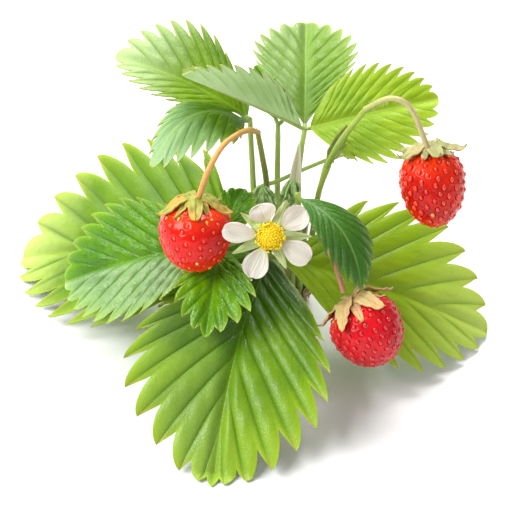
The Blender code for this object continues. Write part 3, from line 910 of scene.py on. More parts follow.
@dataclass
class Leaflet:
    """One toothed leaflet, pleated between its sunken side veins.

    Lengths are millimetres and angles degrees. Left and right are as seen from the base with
    the blade's upper side up.

    Attributes:
        name, node, slot: the piece's name, its CAD node and its material slot.
        base, tip: the two ends of the midrib.
        length, left, right: the length along the midrib and the greatest half widths.
        finish, under: the finishes of the upper and lower side.
        teeth, depth: how many teeth each side has, and their depth as a share of the half width.
        widest_left, widest_right: above 1 the greatest width lies nearer the tip.
        base_power, tip_power: how fast the outline narrows to either end.
        lobe_left, lobe_right: how far a lobe near the base stands out.
        bow, hook, sway: the midrib's bend upwards, its late bend and its bend to the side.
        roll, fold_left, fold_right: the blade's turn about its midrib, and each half's lift.
        pleat, quilt, ripple: how strong the pleats, the small swellings and the waves are.
        painted_sheen_left, painted_sheen_right: how strong the sheen painted on each half is.
        thickness, rows: the blade's thickness, and how many rows of faces half of it has.
    """

    name: str
    node: str
    tip: tuple[float, float, float]
    length: float
    left: float
    right: float
    finish: Plant
    slot: str
    under: Plant = Plant.UNDER
    teeth: int = 8
    depth: float = 0.22
    widest_left: float = 0.82
    widest_right: float = 0.82
    base_power: float = 1.15
    tip_power: float = 0.8
    lobe_left: float = 0.0
    lobe_right: float = 0.0
    bow: float = 2.0
    roll: float = 0.0
    fold_left: float = 5.0
    fold_right: float = 5.0
    sway: float = 0.0
    hook: float = 0.0
    pleat: float = 0.12
    quilt: float = 0.08
    painted_sheen_left: float = 0.0
    painted_sheen_right: float = 0.0
    ripple: float = 0.35
    thickness: float = 0.32
    rows: int = 22
    base: Vector = field(default_factory=Vector)

    def half_width(self, u: float, left: bool) -> float:
        """Half width of the outline.

        Args:
            u: from the base at 0 to the tip at 1, along the margin.
            left: which side.

        Returns:
            The half width, lobes among it.
        """
        widest = self.widest_left if left else self.widest_right
        power = self.base_power + (self.tip_power - self.base_power) * u
        share = max(math.sin(math.pi * clamp(u) ** widest), 0.0) ** power
        lobe = (self.lobe_left if left else self.lobe_right) * math.exp(-((u - 0.2) / 0.06) ** 2)
        return (self.left if left else self.right) * share + lobe

    def tooth_place(self, u: float) -> float:
        """How far through its tooth the margin parameter u is, from 0 to 1."""
        k = max(u - TOOTH_START, 0.0) / (1 - TOOTH_START) * (self.teeth + TOOTH_PEAK)
        return k - math.floor(k + 1e-9)

    def reach(self, u: float) -> float:
        """How far the blade runs towards its outline: 1 at a tooth's tip, less in a notch.

        Args:
            u: from the base at 0 to the tip at 1, along the margin.

        Returns:
            The share of the half width.
        """
        s = self.tooth_place(u)
        rise = math.sin(math.pi / 2 * min(s / TOOTH_PEAK, 1.0)) ** 0.8 if s > 1e-6 else 0.0
        fall = 1 - (s - TOOTH_PEAK) / (1 - TOOTH_PEAK)
        fade = min(max(u - TOOTH_START, 0.0) / 0.08, 1.0)
        ending = 0.8 + 0.2 * min((1 - u) / 0.25, 1.0)
        return 1 - self.depth * fade * ending * (1 - (rise if s < TOOTH_PEAK else fall))

    def spot(self, u: float, v: float) -> Spot:
        """A point of the blade's surface with its marks.

        Args:
            u: from the base at 0 to the tip at 1, along the margin.
            v: across, from -1 at the left margin to 1 at the right.

        Returns:
            The point with its marks.
        """
        # The outline, and where the side vein through this point has got to.
        a = abs(v)
        left = v < 0
        width = self.half_width(u, left)
        reach = self.reach(u) * a
        vein_root = self.length * 0.84 * u ** 1.9
        vein_end = self.length * (1 - (1 - u) ** 1.5)
        across = math.copysign(reach * width + 0.35 * a * (1 - u), v)
        droop = 0.12 - 0.8 * (1 - u) ** 3
        along = vein_root + (vein_end - vein_root) * reach - droop * width * a * (1 - a)

        # The midrib's own line, and the two halves of the blade folded up from it.
        span = Vector(self.tip) - self.base
        forward, side, normal = axes_for(span)
        roll = Matrix.Rotation(-math.radians(self.roll), 3, forward)
        side = roll @ side
        normal = roll @ normal
        t = clamp(along / self.length, -0.05, 1.08)
        arc = 4 * t * (1 - t)
        spine = (self.base + span * t + side * (arc * self.sway)
                 + normal * (arc * self.bow + self.hook * HOOK_PEAK * t * t * (1 - t)))
        fold = math.radians(self.fold_left if left else self.fold_right)
        point = spine + side * (across * math.cos(fold)) + normal * (abs(across) * math.sin(fold))
        point.z = max(point.z, 0.0)

        # Pleats between the side veins, small swellings on them, and slow waves.
        off = abs(self.tooth_place(u) - TOOTH_PEAK)
        off = min(off, 1 - off)
        in_teeth = smooth((u - 0.06) / 0.12)
        pitch = self.length / (self.teeth + 1.5)
        from_rib = abs(across)
        swell = math.sin(math.pi * off) ** 0.62 * in_teeth
        quiet = smooth(from_rib / 2.2) * (1 - 0.75 * a ** 5)
        lift = self.pleat * pitch * swell * quiet
        weave = math.sin(math.tau * (from_rib / QUILT_STEP + 0.9 * off + 0.3 * math.floor(u * 9)))
        lift += self.quilt * weave * math.sin(math.pi * off) * quiet
        lift += RIB_RISE * smooth(from_rib / RIB_SIDE)
        drift = noise.noise(point * 0.11 + Vector((3.1, 7.7, 1.9)))
        lift += self.ripple * (drift + 0.5) * a * a
        point += normal * max(lift, 0.0)

        # What the finish reads, painted shade in the crease over each side vein and painted sheen on
        # a chosen half among it.
        fine = 1 - clamp(off / VEIN_HALF)
        vein = max(fine * in_teeth * (1 - 0.5 * a), 1 - clamp(from_rib / RIB_HALF))
        tooth = (1 - clamp(off / 0.12)) * smooth((a - 0.86) / 0.14) * in_teeth
        # Painted shade in the crease over each side vein.
        crease_shade = math.exp(-(off / CREASE_SHADE_HALF) ** 2) * in_teeth * quiet
        # Painted sheen on one half, kept out of the painted crease shade.
        painted_sheen = (self.painted_sheen_left if left else self.painted_sheen_right) * smooth(a / 0.3) * (1 - crease_shade)
        return Spot(point, vein, a ** 14, clamp(along / self.length), tooth, crease_shade, painted_sheen)

    def stations(self) -> list[float]:
        """Where along the margin the columns stand, close together at each side vein.

        Returns:
            The places, from the base near 0 to the tip at 1.
        """
        places = [0.004, 0.025, 0.05, 0.08, 0.115]
        for tooth in range(self.teeth + 1):
            for step in TOOTH_STEPS:
                if tooth == self.teeth and step > TOOTH_PEAK:
                    break
                share = (tooth + step) / (self.teeth + TOOTH_PEAK)
                places.append(TOOTH_START + (1 - TOOTH_START) * share)
        places[-1] = 1.0
        return places

    def build(self) -> bpy.types.Object:
        """The leaflet's blade, thickened, dressed and settled.

        Returns:
            The blade.
        """
        places = self.stations()
        rows = self.rows * 2

        def place(column: int, row: int) -> Spot:
            """The blade's point at one crossing, its rows closer near the midrib."""
            across = 1 - 2 * row / rows
            return self.spot(places[column], math.copysign(abs(across) ** 1.5, across))

        piece = shaped_grid(self.name, len(places) - 1, rows, place)
        dress(piece, self.finish, self.under)
        thicken(piece, self.thickness, under_slot=1)
        shade(piece, 55)
        return settle(piece, self.slot, self.node)

    def rib(self) -> bpy.types.Object:
        """The midrib as a slim tube, from the leaf's junction nearly to the tip.

        Returns:
            The midrib, not yet dressed.
        """
        route = [self.base - (Vector(self.tip) - self.base).normalized() * (JOIN + 0.1)]
        radii = [0.42]
        steps = 24
        for step in range(steps + 1):
            u = 0.012 + 0.95 * step / steps
            point = self.spot(u, 0.0).at.copy()
            radius = 0.40 * (1 - u) ** 0.8 + 0.06
            point.z = max(point.z - 0.1, radius)
            route.append(point)
            radii.append(radius)
        return tube(f"{self.name}_rib", route, radii, 8)


@dataclass
class Leaf:
    """One leaf: its leaflets round one junction, with their midribs.

    Attributes:
        letter: names its pieces, nodes and slot.
        junction: where the leaflets meet the stalk.
        leaflets: each leaflet's own values, by its place in the leaf.
        stalk: the finish of the midribs.
        finish, under: the finishes of the blades.
        shared: values for all its leaflets.
    """

    letter: str
    junction: tuple[float, float, float]
    leaflets: dict[str, dict]
    stalk: Plant
    finish: Plant
    under: Plant = Plant.UNDER
    shared: dict = field(default_factory=dict)

    def build(self) -> None:
        """Build every leaflet, then one piece of the ribs."""
        ribs = []
        for part, sizes in self.leaflets.items():
            values = {"finish": self.finish, "under": self.under, **self.shared, **sizes}
            leaflet = Leaflet(name=f"blade_{self.letter}_{part}", node=f"leaf_{self.letter}_{part}",
                              slot=f"leaf_{self.letter}", **values)
            away = (Vector(leaflet.tip) - Vector(self.junction)).normalized()
            leaflet.base = Vector(self.junction) + away * JOIN
            leaflet.build()
            ribs.append(leaflet.rib())
        piece = join(f"ribs_{self.letter}", ribs)
        dress(piece, self.stalk)
        settle(piece, f"leaf_{self.letter}")


# A leaflet's sheen values paint sheen on one of its halves.
LEAVES = (
    Leaf("a", (-3.2, -9.0, 21.8), {
        "front": dict(tip=(-14.4, -51.6, -4.5), length=50, left=19.5, right=20.5, bow=5.2,
                      sway=1.2, widest_left=0.76, widest_right=0.76, fold_left=-2, fold_right=14,
                      rows=28, tip_power=1.5, pleat=0.17, painted_sheen_right=0.07),
        "right": dict(tip=(40.8, -8.1, 0.4), length=48, left=19.5, right=16, teeth=7, bow=3,
                      roll=-27, widest_left=0.8, base_power=1.6, fold_left=4, fold_right=4,
                      finish=Plant.LEAF_A_RIGHT, rows=26, tip_power=0.95, lobe_left=2.5,
                      depth=0.26),
        "left": dict(tip=(-55.0, 15.4, 0.6), length=54, left=18.5, right=25, bow=3, roll=26,
                     widest_right=0.84, base_power=1.5, fold_left=4, fold_right=4,
                     finish=Plant.LEAF_A_LEFT, rows=26, lobe_right=5.0, depth=0.27,
                     pleat=0.16)},
         Plant.STALK_GREEN, Plant.LEAF_A),
    Leaf("b", (-12.6, -14.4, 28.9), {
        "left": dict(tip=(-43.8, -8.3, 14.0), length=36, left=13, right=13, bow=3, roll=30,
                     painted_sheen_left=0.34),
        "front": dict(tip=(-15.6, -32.0, 20.6), length=24, left=8.5, right=7.2, teeth=5, bow=1,
                      tip_power=1.15, depth=0.3),
        "back": dict(tip=(-8.4, -4.0, 34.2), length=14, left=4, right=5, teeth=5)},
         Plant.STALK_GREEN, Plant.LEAF_B, shared=dict(pleat=0.19, quilt=0.24)),
    Leaf("c", (-7.2, 7.5, 43.2), {
        "left": dict(tip=(-33.7, 14.0, 53.2), length=30, left=7.5, right=14, depth=0.28, roll=10,
                     widest_left=0.95, base_power=1.3),
        "front": dict(tip=(-26.0, -10.5, 45.0), length=32, left=9, right=4.5, teeth=7,
                      widest_left=0.75, widest_right=0.9, base_power=1.8, bow=4.5, pleat=0.07,
                      fold_left=-24, fold_right=-4, hook=3, finish=Plant.LEAF_C_FRONT),
        "back": dict(tip=(-17.0, 22.0, 39.0), length=18, left=6, right=6, teeth=7)},
         Plant.STALK_PALE, Plant.LEAF_C, Plant.UNDER_PALE),
    Leaf("d", (3.6, 6.0, 41.8), {
        "back": dict(tip=(4.1, 30.0, 50.0), length=26, left=10.5, right=10.5, bow=1, painted_sheen_left=0.12,
                     widest_left=1.1, widest_right=1.1, base_power=0.95, fold_left=6,
                     fold_right=6),
        "right": dict(tip=(29.9, 8.0, 47.6), length=28, left=9.5, right=10.5, teeth=9, bow=1,
                      roll=-40, widest_left=0.75, widest_right=0.75, fold_left=2, fold_right=2,
                      finish=Plant.LEAF_D_RIGHT),
        # Its downward side takes the brightened green of painted light and sheen.
        "left": dict(tip=(-19.9, -2.0, 60.1), length=27, left=7.5, right=9, bow=0.3,
                     roll=-42, base_power=1.3, fold_left=34, fold_right=34,
                     under=Plant.LEAF_D_PAINTED_SHEEN)},
         Plant.STALK_PALE, Plant.LEAF_D, Plant.UNDER_PALE, shared=dict(pleat=0.11)),
    Leaf("f", (-1.6, 12.0, 38.3), {
        "left": dict(tip=(-6.0, 20.5, 46.6), length=14, left=5, right=4, teeth=5, fold_left=15,
                     fold_right=15),
        "right": dict(tip=(6.5, 21.0, 40.5), length=14, left=4.5, right=4.5, teeth=5)},
         Plant.STALK_PALE, Plant.LEAF_F),
    Leaf("e", (2.0, -9.2, 37.4), {
        "young": dict(tip=(14.0, -24.0, 25.5), length=24, left=6.4, right=5.3, teeth=7, bow=3,
                      tip_power=1.15, sway=-2, fold_left=-20, fold_right=-20)},
         Plant.STALK_GREEN, Plant.LEAF_E, shared=dict(pleat=0.13, quilt=0.1)),
)


# Stalks.

@dataclass
class Stalk:
    """One stalk: a tapering tube along its route, from the crown or following another.

    Attributes:
        node: its CAD node.
        points: the places its centre line passes.
        finish: its finish.
        ring: the angle in degrees at which it leaves the crown, if it does.
        radius: its radius, before the shares at foot and head.
        foot_share, head_share: its radius at either end, as a share.
        knob: how much its head swells.
        reach_foot, reach_head: how far it runs on into its neighbours.
        hairs: how many fine hairs it bears.
    """

    node: str
    points: list[tuple[float, float, float]]
    finish: Plant
    ring: float | None = None
    radius: float = STALK_R
    foot_share: float = 1.15
    head_share: float = 0.9
    knob: float = 1.0
    reach_foot: float = 0.0
    reach_head: float = 0.0
    hairs: int = 0

    def route(self) -> list[Vector]:
        """The stalk's centre line, drawn on at either end to meet its neighbours.

        Returns:
            The points of the line.
        """
        points = [Vector(p) for p in self.points]
        if self.ring is not None:
            foot = level(math.radians(self.ring)) * RING_R
            points.insert(0, CROWN_AT + foot + UP * (CROWN_H - 0.6))
        if self.reach_foot:
            points[0] += (points[0] - points[1]).normalized() * self.reach_foot
        if self.reach_head:
            points[-1] += (points[-1] - points[-2]).normalized() * self.reach_head
        return smooth_route(points)

    def build(self) -> bpy.types.Object:
        """The stalk with its hairs, dressed and settled.

        Returns:
            The stalk.
        """
        route = self.route()
        last = len(route) - 1
        radii = []
        for index, point in enumerate(route):
            t = index / last
            share = self.foot_share + (self.head_share - self.foot_share) * t
            share *= 1 + 0.05 * noise.noise(point * 0.6)
            share *= 1 + (self.knob - 1) * math.exp(-((1 - t) * last / 4.0) ** 2)
            radii.append(self.radius * share)
        piece = tube(f"stem_{self.node}", route, radii)
        if self.hairs:
            piece = join(piece.name, [piece, self.down(route, radii)])
        dress(piece, self.finish)
        return settle(piece, "stalk", self.node)

    def down(self, route: list[Vector], radii: list[float]) -> bpy.types.Object:
        """Fine spreading hairs along the stalk.

        Args:
            route: the stalk's centre line.
            radii: its radius at each point.

        Returns:
            One piece of slim three-sided hairs.
        """
        draw = random.Random(self.node)
        roots = []
        for _ in range(self.hairs):
            index = draw.randrange(2, len(route) - 2)
            ahead = (route[index + 1] - route[index - 1]).normalized()
            _, side, third = axes_for(ahead)
            angle = draw.uniform(0, math.tau)
            out = around(side, third, angle)
            slip = ahead * draw.uniform(-0.6, 0.6)
            lean = (out + ahead * draw.uniform(-0.2, 0.5)).normalized()
            roots.append((route[index] + slip + out * radii[index] * 0.9, lean,
                          draw.uniform(0.7, 1.3)))
        return bristles(f"hairs_{self.node}", roots, 0.045)


def bristles(name: str, roots: Sequence[tuple[Vector, Vector, float]],
             radius: float) -> bpy.types.Object:
    """Many slim closed spikes as one piece.

    Args:
        name: the piece's name.
        roots: each spike's foot, its direction and its length in millimetres.
        radius: the radius at the foot.

    Returns:
        The piece.
    """
    points: list[Vector] = []
    faces: list[tuple[int, int, int]] = []
    for foot, lean, length in roots:
        _, side, third = axes_for(lean)
        start = len(points)
        for corner in range(3):
            angle = math.tau * corner / 3
            points.append(foot + around(side, third, angle) * radius)
        points.append(foot + lean * length)
        faces += [(start, start + 1, start + 3), (start + 1, start + 2, start + 3),
                  (start + 2, start, start + 3), (start, start + 2, start + 1)]
    mesh = bpy.data.meshes.new(name)
    mesh.from_pydata([ORIGIN + p * MM for p in points], [], faces)
    for key in MARKS:
        set_mark(mesh, key, [0.5] * len(points))
    piece = bpy.data.objects.new(name, mesh)
    bpy.context.scene.collection.objects.link(piece)
    tidy_mesh(piece, True)
    return piece


STALKS = (
    Stalk("petiole_a", [(-0.6, -4.5, 13), (-2.4, -7.8, 19.2), (-3.2, -9.0, 21.9)],
          Plant.STALK_GREEN, 270),
    Stalk("petiole_b", [(-3.4, -1.4, 16), (-4.2, -4.2, 24), (-6.4, -7.8, 27.0),
                        (-10.0, -12.0, 27.8), (-12.6, -14.4, 28.8)], Plant.STALK_GREEN, 218),
    Stalk("petiole_c", [(-6.0, 5.6, 22), (-6.8, 6.4, 34), (-7.2, 7.4, 43.2)],
          Plant.STALK_PALE, 130, hairs=40),
    Stalk("petiole_d", [(2.2, 5.2, 26), (2.9, 5.6, 36), (3.6, 6.0, 41.8)], Plant.STALK_PALE, 60,
          hairs=50),
    Stalk("petiole_e", [(2.6, -2.6, 20), (2.4, -6.4, 31), (2.0, -9.2, 37.4)],
          Plant.STALK_GREEN, 318),
    Stalk("petiole_f", [(-1.6, 8.4, 22), (-1.6, 11.2, 34), (-1.6, 12.0, 38.3)],
          Plant.STALK_PALE, 95),
    Stalk("side_stalk", [(-6.2, 2.6, 18), (-7.0, 3.2, 25), (-5.6, 4.0, 28.4), (-1.6, 6.4, 28.4),
                         (3.0, 8.0, 29.8), (8.4, 8.0, 32.6), (11.4, 7.0, 34.6)],
          Plant.STALK_PALE, 162, FINE_R, reach_head=0.6),
    Stalk("pedicel", [(1.0, -3.2, 18), (0.4, -6.4, 29), (-0.2, -12.8, 38.0), (-1.0, -18.2, 40.8),
                      (-2.3, -21.8, 39.9), (-3.2, -23.1, 38.4)], Plant.STALK_PALE, 294, FINE_R,
          reach_head=0.4, hairs=50),
    Stalk("bud_stalk", [(-1.8, -3.0, 16), (-1.9, -5.2, 29.8)], Plant.STALK_GREEN, 244, FINE_R,
          reach_head=1.2),
    Stalk("peduncle_1_rise", [(-3.7, 0.6, 20), (-3.9, -0.8, 33), (-4.8, -2.2, 41.5),
                              (-5.6, -4.0, 47.9)], Plant.STALK_TAN, 192, reach_head=0.5,
          hairs=50),
    Stalk("peduncle_1_arch", [(-5.8, -4.5, 48.9), (-7.7, -7.9, 51.9), (-11.8, -13.4, 53.0),
                              (-14.8, -17.0, 49.7), (-16.4, -18.1, 45.1)], Plant.STALK_ARCH,
          reach_foot=0.7, reach_head=1.2, foot_share=0.9, head_share=0.95, hairs=80),
    Stalk("peduncle_2_foot", [(5.6, 2.0, 20), (6.4, 0.8, 29.4), (7.9, -1.0, 37.8)],
          Plant.STALK_GREEN, 8, knob=1.5, reach_head=0.3),
    Stalk("peduncle_2_rise", [(8.1, -1.3, 38.6), (10.6, -3.0, 46.0), (14.5, -5.0, 54.2)],
          Plant.STALK_GREEN, reach_foot=0.6, reach_head=0.6, hairs=50),
    Stalk("peduncle_2_arch", [(15.2, -5.3, 55.2), (19.4, -6.5, 58.4), (23.3, -7.5, 56.6),
                              (26.3, -8.4, 49.4)], Plant.STALK_WHITE, reach_foot=0.7,
          reach_head=1.2, foot_share=0.95, hairs=90),
    Stalk("peduncle_3", [(3.6, 0.0, 18), (4.2, -3.6, 27), (5.4, -8.6, 29.6), (7.4, -14.2, 29.8),
                         (9.3, -18.4, 27.4), (10.7, -21.2, 23.9)], Plant.STALK_PINK, 342,
          reach_head=1.0, hairs=70),
)


# Straps: sepals, bracts, petals and scales.

@dataclass
class Strap:
    """A narrow blade along a route: a sepal, a bract, a bud leaf or a crown scale.

    Attributes:
        route: the places its middle line passes.
        side: the way across it.
        half: its greatest half width.
        cup: how far its edges lift.
        widest: below 1 the greatest width lies nearer the base.
        fullness: how fast it narrows to its ends.
        base_share: its half width at the base, as a share of the greatest.
        twist: how far its tip turns, in radians.
        lines: how many veins run along it.
        crumple: how uneven it is.
        thickness: its thickness.
    """

    route: list[Vector]
    side: Vector
    half: float
    cup: float = 0.25
    widest: float = 0.8
    fullness: float = 0.8
    base_share: float = 0.25
    twist: float = 0.0
    lines: int = 3
    crumple: float = 0.0
    thickness: float = 0.26

    def build(self, name: str, rows: int = 10) -> bpy.types.Object:
        """The strap as a thin closed piece.

        Args:
            name: the piece's name.
            rows: faces across it.

        Returns:
            The piece, with its veins, margin and length as marks.
        """
        line = smooth_route(self.route, 6)
        last = len(line) - 1

        def place(column: int, row: int) -> Spot:
            """The strap's point at one crossing.

            Args:
                column: the step along it.
                row: the step across it.

            Returns:
                The point with its marks.
            """
            t = column / last
            v = 2 * row / rows - 1
            centre = line[column]
            ahead = (line[min(column + 1, last)] - line[max(column - 1, 0)]).normalized()
            side = (self.side - ahead * self.side.dot(ahead)).normalized()
            side = Quaternion(ahead, self.twist * t) @ side
            over = side.cross(ahead)
            shape = max(math.sin(math.pi * clamp(t) ** self.widest), 0.0) ** self.fullness
            shape = max(shape, self.base_share * (1 - t) ** 2)
            half = self.half * shape
            lift = self.cup * v * v * half
            if self.crumple:
                lift += self.crumple * noise.noise(centre * 0.9 + side * v) * shape
            mark = abs(math.sin(math.pi * (v * self.lines / 2 + 0.5 * (self.lines % 2)))) ** 6
            return Spot(centre + side * (v * half) + over * lift, mark * (1 - abs(v)), v ** 6, t)

        piece = shaped_grid(name, last, rows, place)
        thicken(piece, self.thickness, 0.0)
        shade(piece, 60)
        return piece


@dataclass
class Berry:
    """One berry: its pitted flesh, its achenes and the calyx over its shoulder.

    Attributes:
        number: names its pieces and nodes.
        centre, towards: its middle, and the way from its calyx to its tip.
        radius, half: its greatest radius and half its length.
        flesh, seed, calyx: the finishes of its parts.
        sepal, sepal_half: a sepal's length and half width.
        droop, curl: how far the sepals fall, and how far their tips turn up again.
        turn: the angle of the first sepal, in radians.
        seeds: how many achenes it has.
        swell, pit: how far the flesh rises between the achenes and sinks under them.
        bead, perch: an achene's half length, and how high it sits as a share of that.
        straw: the share of achenes that have dried to straw.
    """

    number: int
    centre: tuple[float, float, float]
    towards: tuple[float, float, float]
    radius: float
    half: float
    flesh: Plant
    seed: Plant
    calyx: Plant
    sepal: float
    droop: float
    curl: float
    seeds: int = 125
    swell: float = 0.16
    pit: float = 0.16
    bead: float = 0.50
    perch: float = 0.0
    sepal_half: float = 1.5
    turn: float = 0.3
    straw: float = 0.04

    def profile(self, t: float) -> float:
        """Radius share at t, from -1 at the calyx to 1 at the tip."""
        return math.sqrt(max(0.0, 1 - abs(t) ** 2.4)) * (1 - 0.16 * t)

    def skin(self, t: float, angle: float) -> tuple[Vector, Vector]:
        """A point of the smooth skin and the way out from it.

        Args:
            t: from -1 at the calyx to 1 at the tip.
            angle: round the berry.

        Returns:
            The point and its outward direction.
        """
        along, side, third = axes_for(Vector(self.towards))
        way = around(side, third, angle)
        point = (Vector(self.centre) + along * (t * self.half)
                 + way * (self.profile(t) * self.radius))
        step = 0.02
        low, high = max(t - step, -1.0), min(t + step, 1.0)
        slope = (self.profile(high) - self.profile(low)) * self.radius
        run = (high - low) * self.half
        return point, (way * run - along * slope).normalized()

    def seed_places(self) -> list[tuple[Vector, Vector, float]]:
        """Achene places in a spiral, evenly spread over the skin's area.

        Returns:
            Each achene's point on the skin, the way out and its t.
        """
        draw = random.Random(40 + self.number)
        steps = 240
        nudge = 0.004
        sums = [0.0]
        for index in range(steps):
            t = -1 + (index + 0.5) * 2 / steps
            rise = self.profile(min(t + nudge, 1)) - self.profile(max(t - nudge, -1))
            stretch = math.hypot(self.half, rise / (2 * nudge) * self.radius)
            sums.append(sums[-1] + self.profile(t) * stretch)
        places = []
        for index in range(self.seeds):
            want = sums[-1] * (index + 0.6) / self.seeds
            low = next(i for i, total in enumerate(sums) if total >= want)
            t = clamp(-1 + low * 2 / steps, -0.985, 0.985)
            angle = index * GOLDEN + draw.uniform(-0.07, 0.07)
            places.append((*self.skin(t + draw.uniform(-0.012, 0.012), angle), t))
        return places

    def build_flesh(self, places: list[tuple[Vector, Vector, float]]) -> bpy.types.Object:
        """The flesh: swollen between the achenes and pitted under each.

        Args:
            places: the achenes' places.

        Returns:
            The flesh.
        """
        tree = kdtree.KDTree(len(places))
        for index, (point, _, _) in enumerate(places):
            tree.insert(point, index)
        tree.balance()
        columns = 104
        rows = 144
        spacing = math.sqrt(4 * math.pi * self.radius * self.half / self.seeds)

        def place(column: int, row: int) -> Spot:
            """The flesh's point at one crossing.

            Args:
                column: the step from the calyx to the tip.
                row: the step round the berry.

            Returns:
                The point with its marks.
            """
            t = -math.cos(math.pi * column / columns)
            angle = math.tau * (row % rows) / rows
            if column in (0, columns):
                angle = 0.0
            point, out = self.skin(t, angle)
            _, _, gap = tree.find(point)
            share = gap / spacing
            ring = math.exp(-((share - 0.40) / 0.13) ** 2)
            dent = math.exp(-(share / 0.26) ** 2)
            lift = self.swell * (ring - 0.35) - self.pit * dent
            lift += 0.10 * noise.noise(point * 0.35)
            # The pit's share also goes out as the vein mark, which the finish paints as shade.
            return Spot(point + out * lift, dent, 0.0, (t + 1) / 2)

        piece = shaped_grid(f"berry_{self.number}_flesh", columns, rows, place, closed=True)
        shade(piece, 80)
        dress(piece, self.flesh)
        return settle(piece, "berry", f"berry_{self.number}")

    def build_seeds(self, places: list[tuple[Vector, Vector, float]]) -> bpy.types.Object:
        """The achenes: small pointed drops set in the pits.

        Args:
            places: the achenes' places.

        Returns:
            All of them as one piece, with each one's tone as its marks.
        """
        draw = random.Random(70 + self.number)
        down = Vector(self.towards).normalized()
        seeds = []
        tones = []
        for point, out, t in places:
            tip = (down - out * down.dot(out)).normalized()
            side = tip.cross(out)
            long = self.bead * draw.uniform(0.92, 1.12)
            wide = long * draw.uniform(0.70, 0.82)
            high = long * draw.uniform(0.52, 0.62)
            sit = point + out * (self.bead * self.perch - self.pit * 0.6)

            def drop(corner: Vector) -> Vector:
                """A point of the achene, which narrows to its tip.

                Args:
                    corner: the point's place on the unit ball.

                Returns:
                    Its place in plan millimetres.
                """
                taper = 1 - 0.28 * max(corner.z, 0.0)
                return (sit + side * (corner.x * wide * taper) + out * (corner.y * high * taper)
                        + tip * (corner.z * long))

            seed = ball(drop, 8, 6)
            near_top = t < -0.45
            tone = draw.uniform(0.0, 0.08)
            if draw.random() < (self.straw * 4 if near_top else self.straw):
                tone = draw.uniform(0.6, 1.0)
            tones += [tone] * len(seed.data.vertices)
            seeds.append(seed)
        piece = join(f"berry_{self.number}_achenes", seeds)
        for key in MARKS:
            set_mark(piece.data, key, tones)
        tidy_mesh(piece, True)
        shade(piece, 80)
        dress(piece, self.seed)
        return settle(piece, "berry")

    def build_calyx(self) -> bpy.types.Object:
        """Five sepals with a narrow bractlet between each pair.

        Returns:
            The calyx.
        """
        draw = random.Random(90 + self.number)
        up = -Vector(self.towards).normalized()
        _, side, third = axes_for(up)
        top = Vector(self.centre) + up * (self.half + 0.25)
        parts = []
        count = 10
        for index in range(count):
            wide = index % 2 == 0
            angle = self.turn + math.tau * index / count + draw.uniform(-0.10, 0.10)
            out = around(side, third, angle)
            across = up.cross(out)
            length = self.sepal * (draw.uniform(0.94, 1.06) if wide else draw.uniform(0.72, 0.86))
            droop = self.droop * draw.uniform(0.7, 1.25)
            curl = self.curl * draw.uniform(0.5, 1.4)
            rise = 0.25 if wide else 0.05
            route = [top + out * 0.35 + up * (0.15 + rise),
                     top + out * (length * 0.33) + up * (0.35 + rise),
                     top + out * (length * 0.66) + up * (0.05 - 0.45 * droop + rise),
                     top + out * (length * 0.88) + up * (-0.8 * droop + 0.25 * curl + rise),
                     top + out * length + up * (-0.9 * droop + curl + rise)]
            strap = Strap(route, across, self.sepal_half if wide else self.sepal_half * 0.55,
                          cup=draw.uniform(-0.35, 0.1), twist=draw.uniform(-0.5, 0.5),
                          base_share=0.55, widest=0.56, fullness=1.25, crumple=0.6)
            parts.append(strap.build(f"sepal_{self.number}_{index}"))
        boss = tube(f"boss_{self.number}", [top - up * 0.2, top + up * 0.35, top + up * 0.8,
                                            top + up * 1.1], [1.7, 1.5, 1.0, 0.6])
        parts.append(boss)
        piece = join(f"calyx_{self.number}_sepals", parts)
        dress(piece, self.calyx)
        return settle(piece, "calyx", f"calyx_{self.number}")

    def build(self) -> None:
        """Build the flesh, the achenes and the calyx."""
        places = self.seed_places()
        self.build_flesh(places)
        self.build_seeds(places)
        self.build_calyx()


BERRIES = (
    Berry(1, (-17.5, -20.5, 36.2), (0.0, -0.35, -1.0), 6.9, 6.9, Plant.FLESH_1, Plant.SEED_1,
          Plant.CALYX_1, sepal=7.8, droop=2.5, curl=0.7, seeds=140, swell=0.10, straw=0.05,
          bead=0.44),
    Berry(2, (28.1, -10.2, 39.8), (0.12, -0.45, -1.0), 6.1, 7.6, Plant.FLESH_2, Plant.SEED_2,
          Plant.CALYX_2, sepal=7.2, droop=1.3, curl=1.1, seeds=165, swell=0.18, pit=0.22, straw=0.01,
          bead=0.55, perch=0.26),
    Berry(3, (15.9, -26.0, 16.7), (0.62, -0.55, -1.0), 6.8, 6.8, Plant.FLESH_3, Plant.SEED_3,
          Plant.CALYX_3, sepal=8.6, droop=3.0, curl=0.6, seeds=175, swell=0.17, pit=0.22, straw=0.01,
          bead=0.55, perch=0.24, sepal_half=1.9),
)


# Flower.

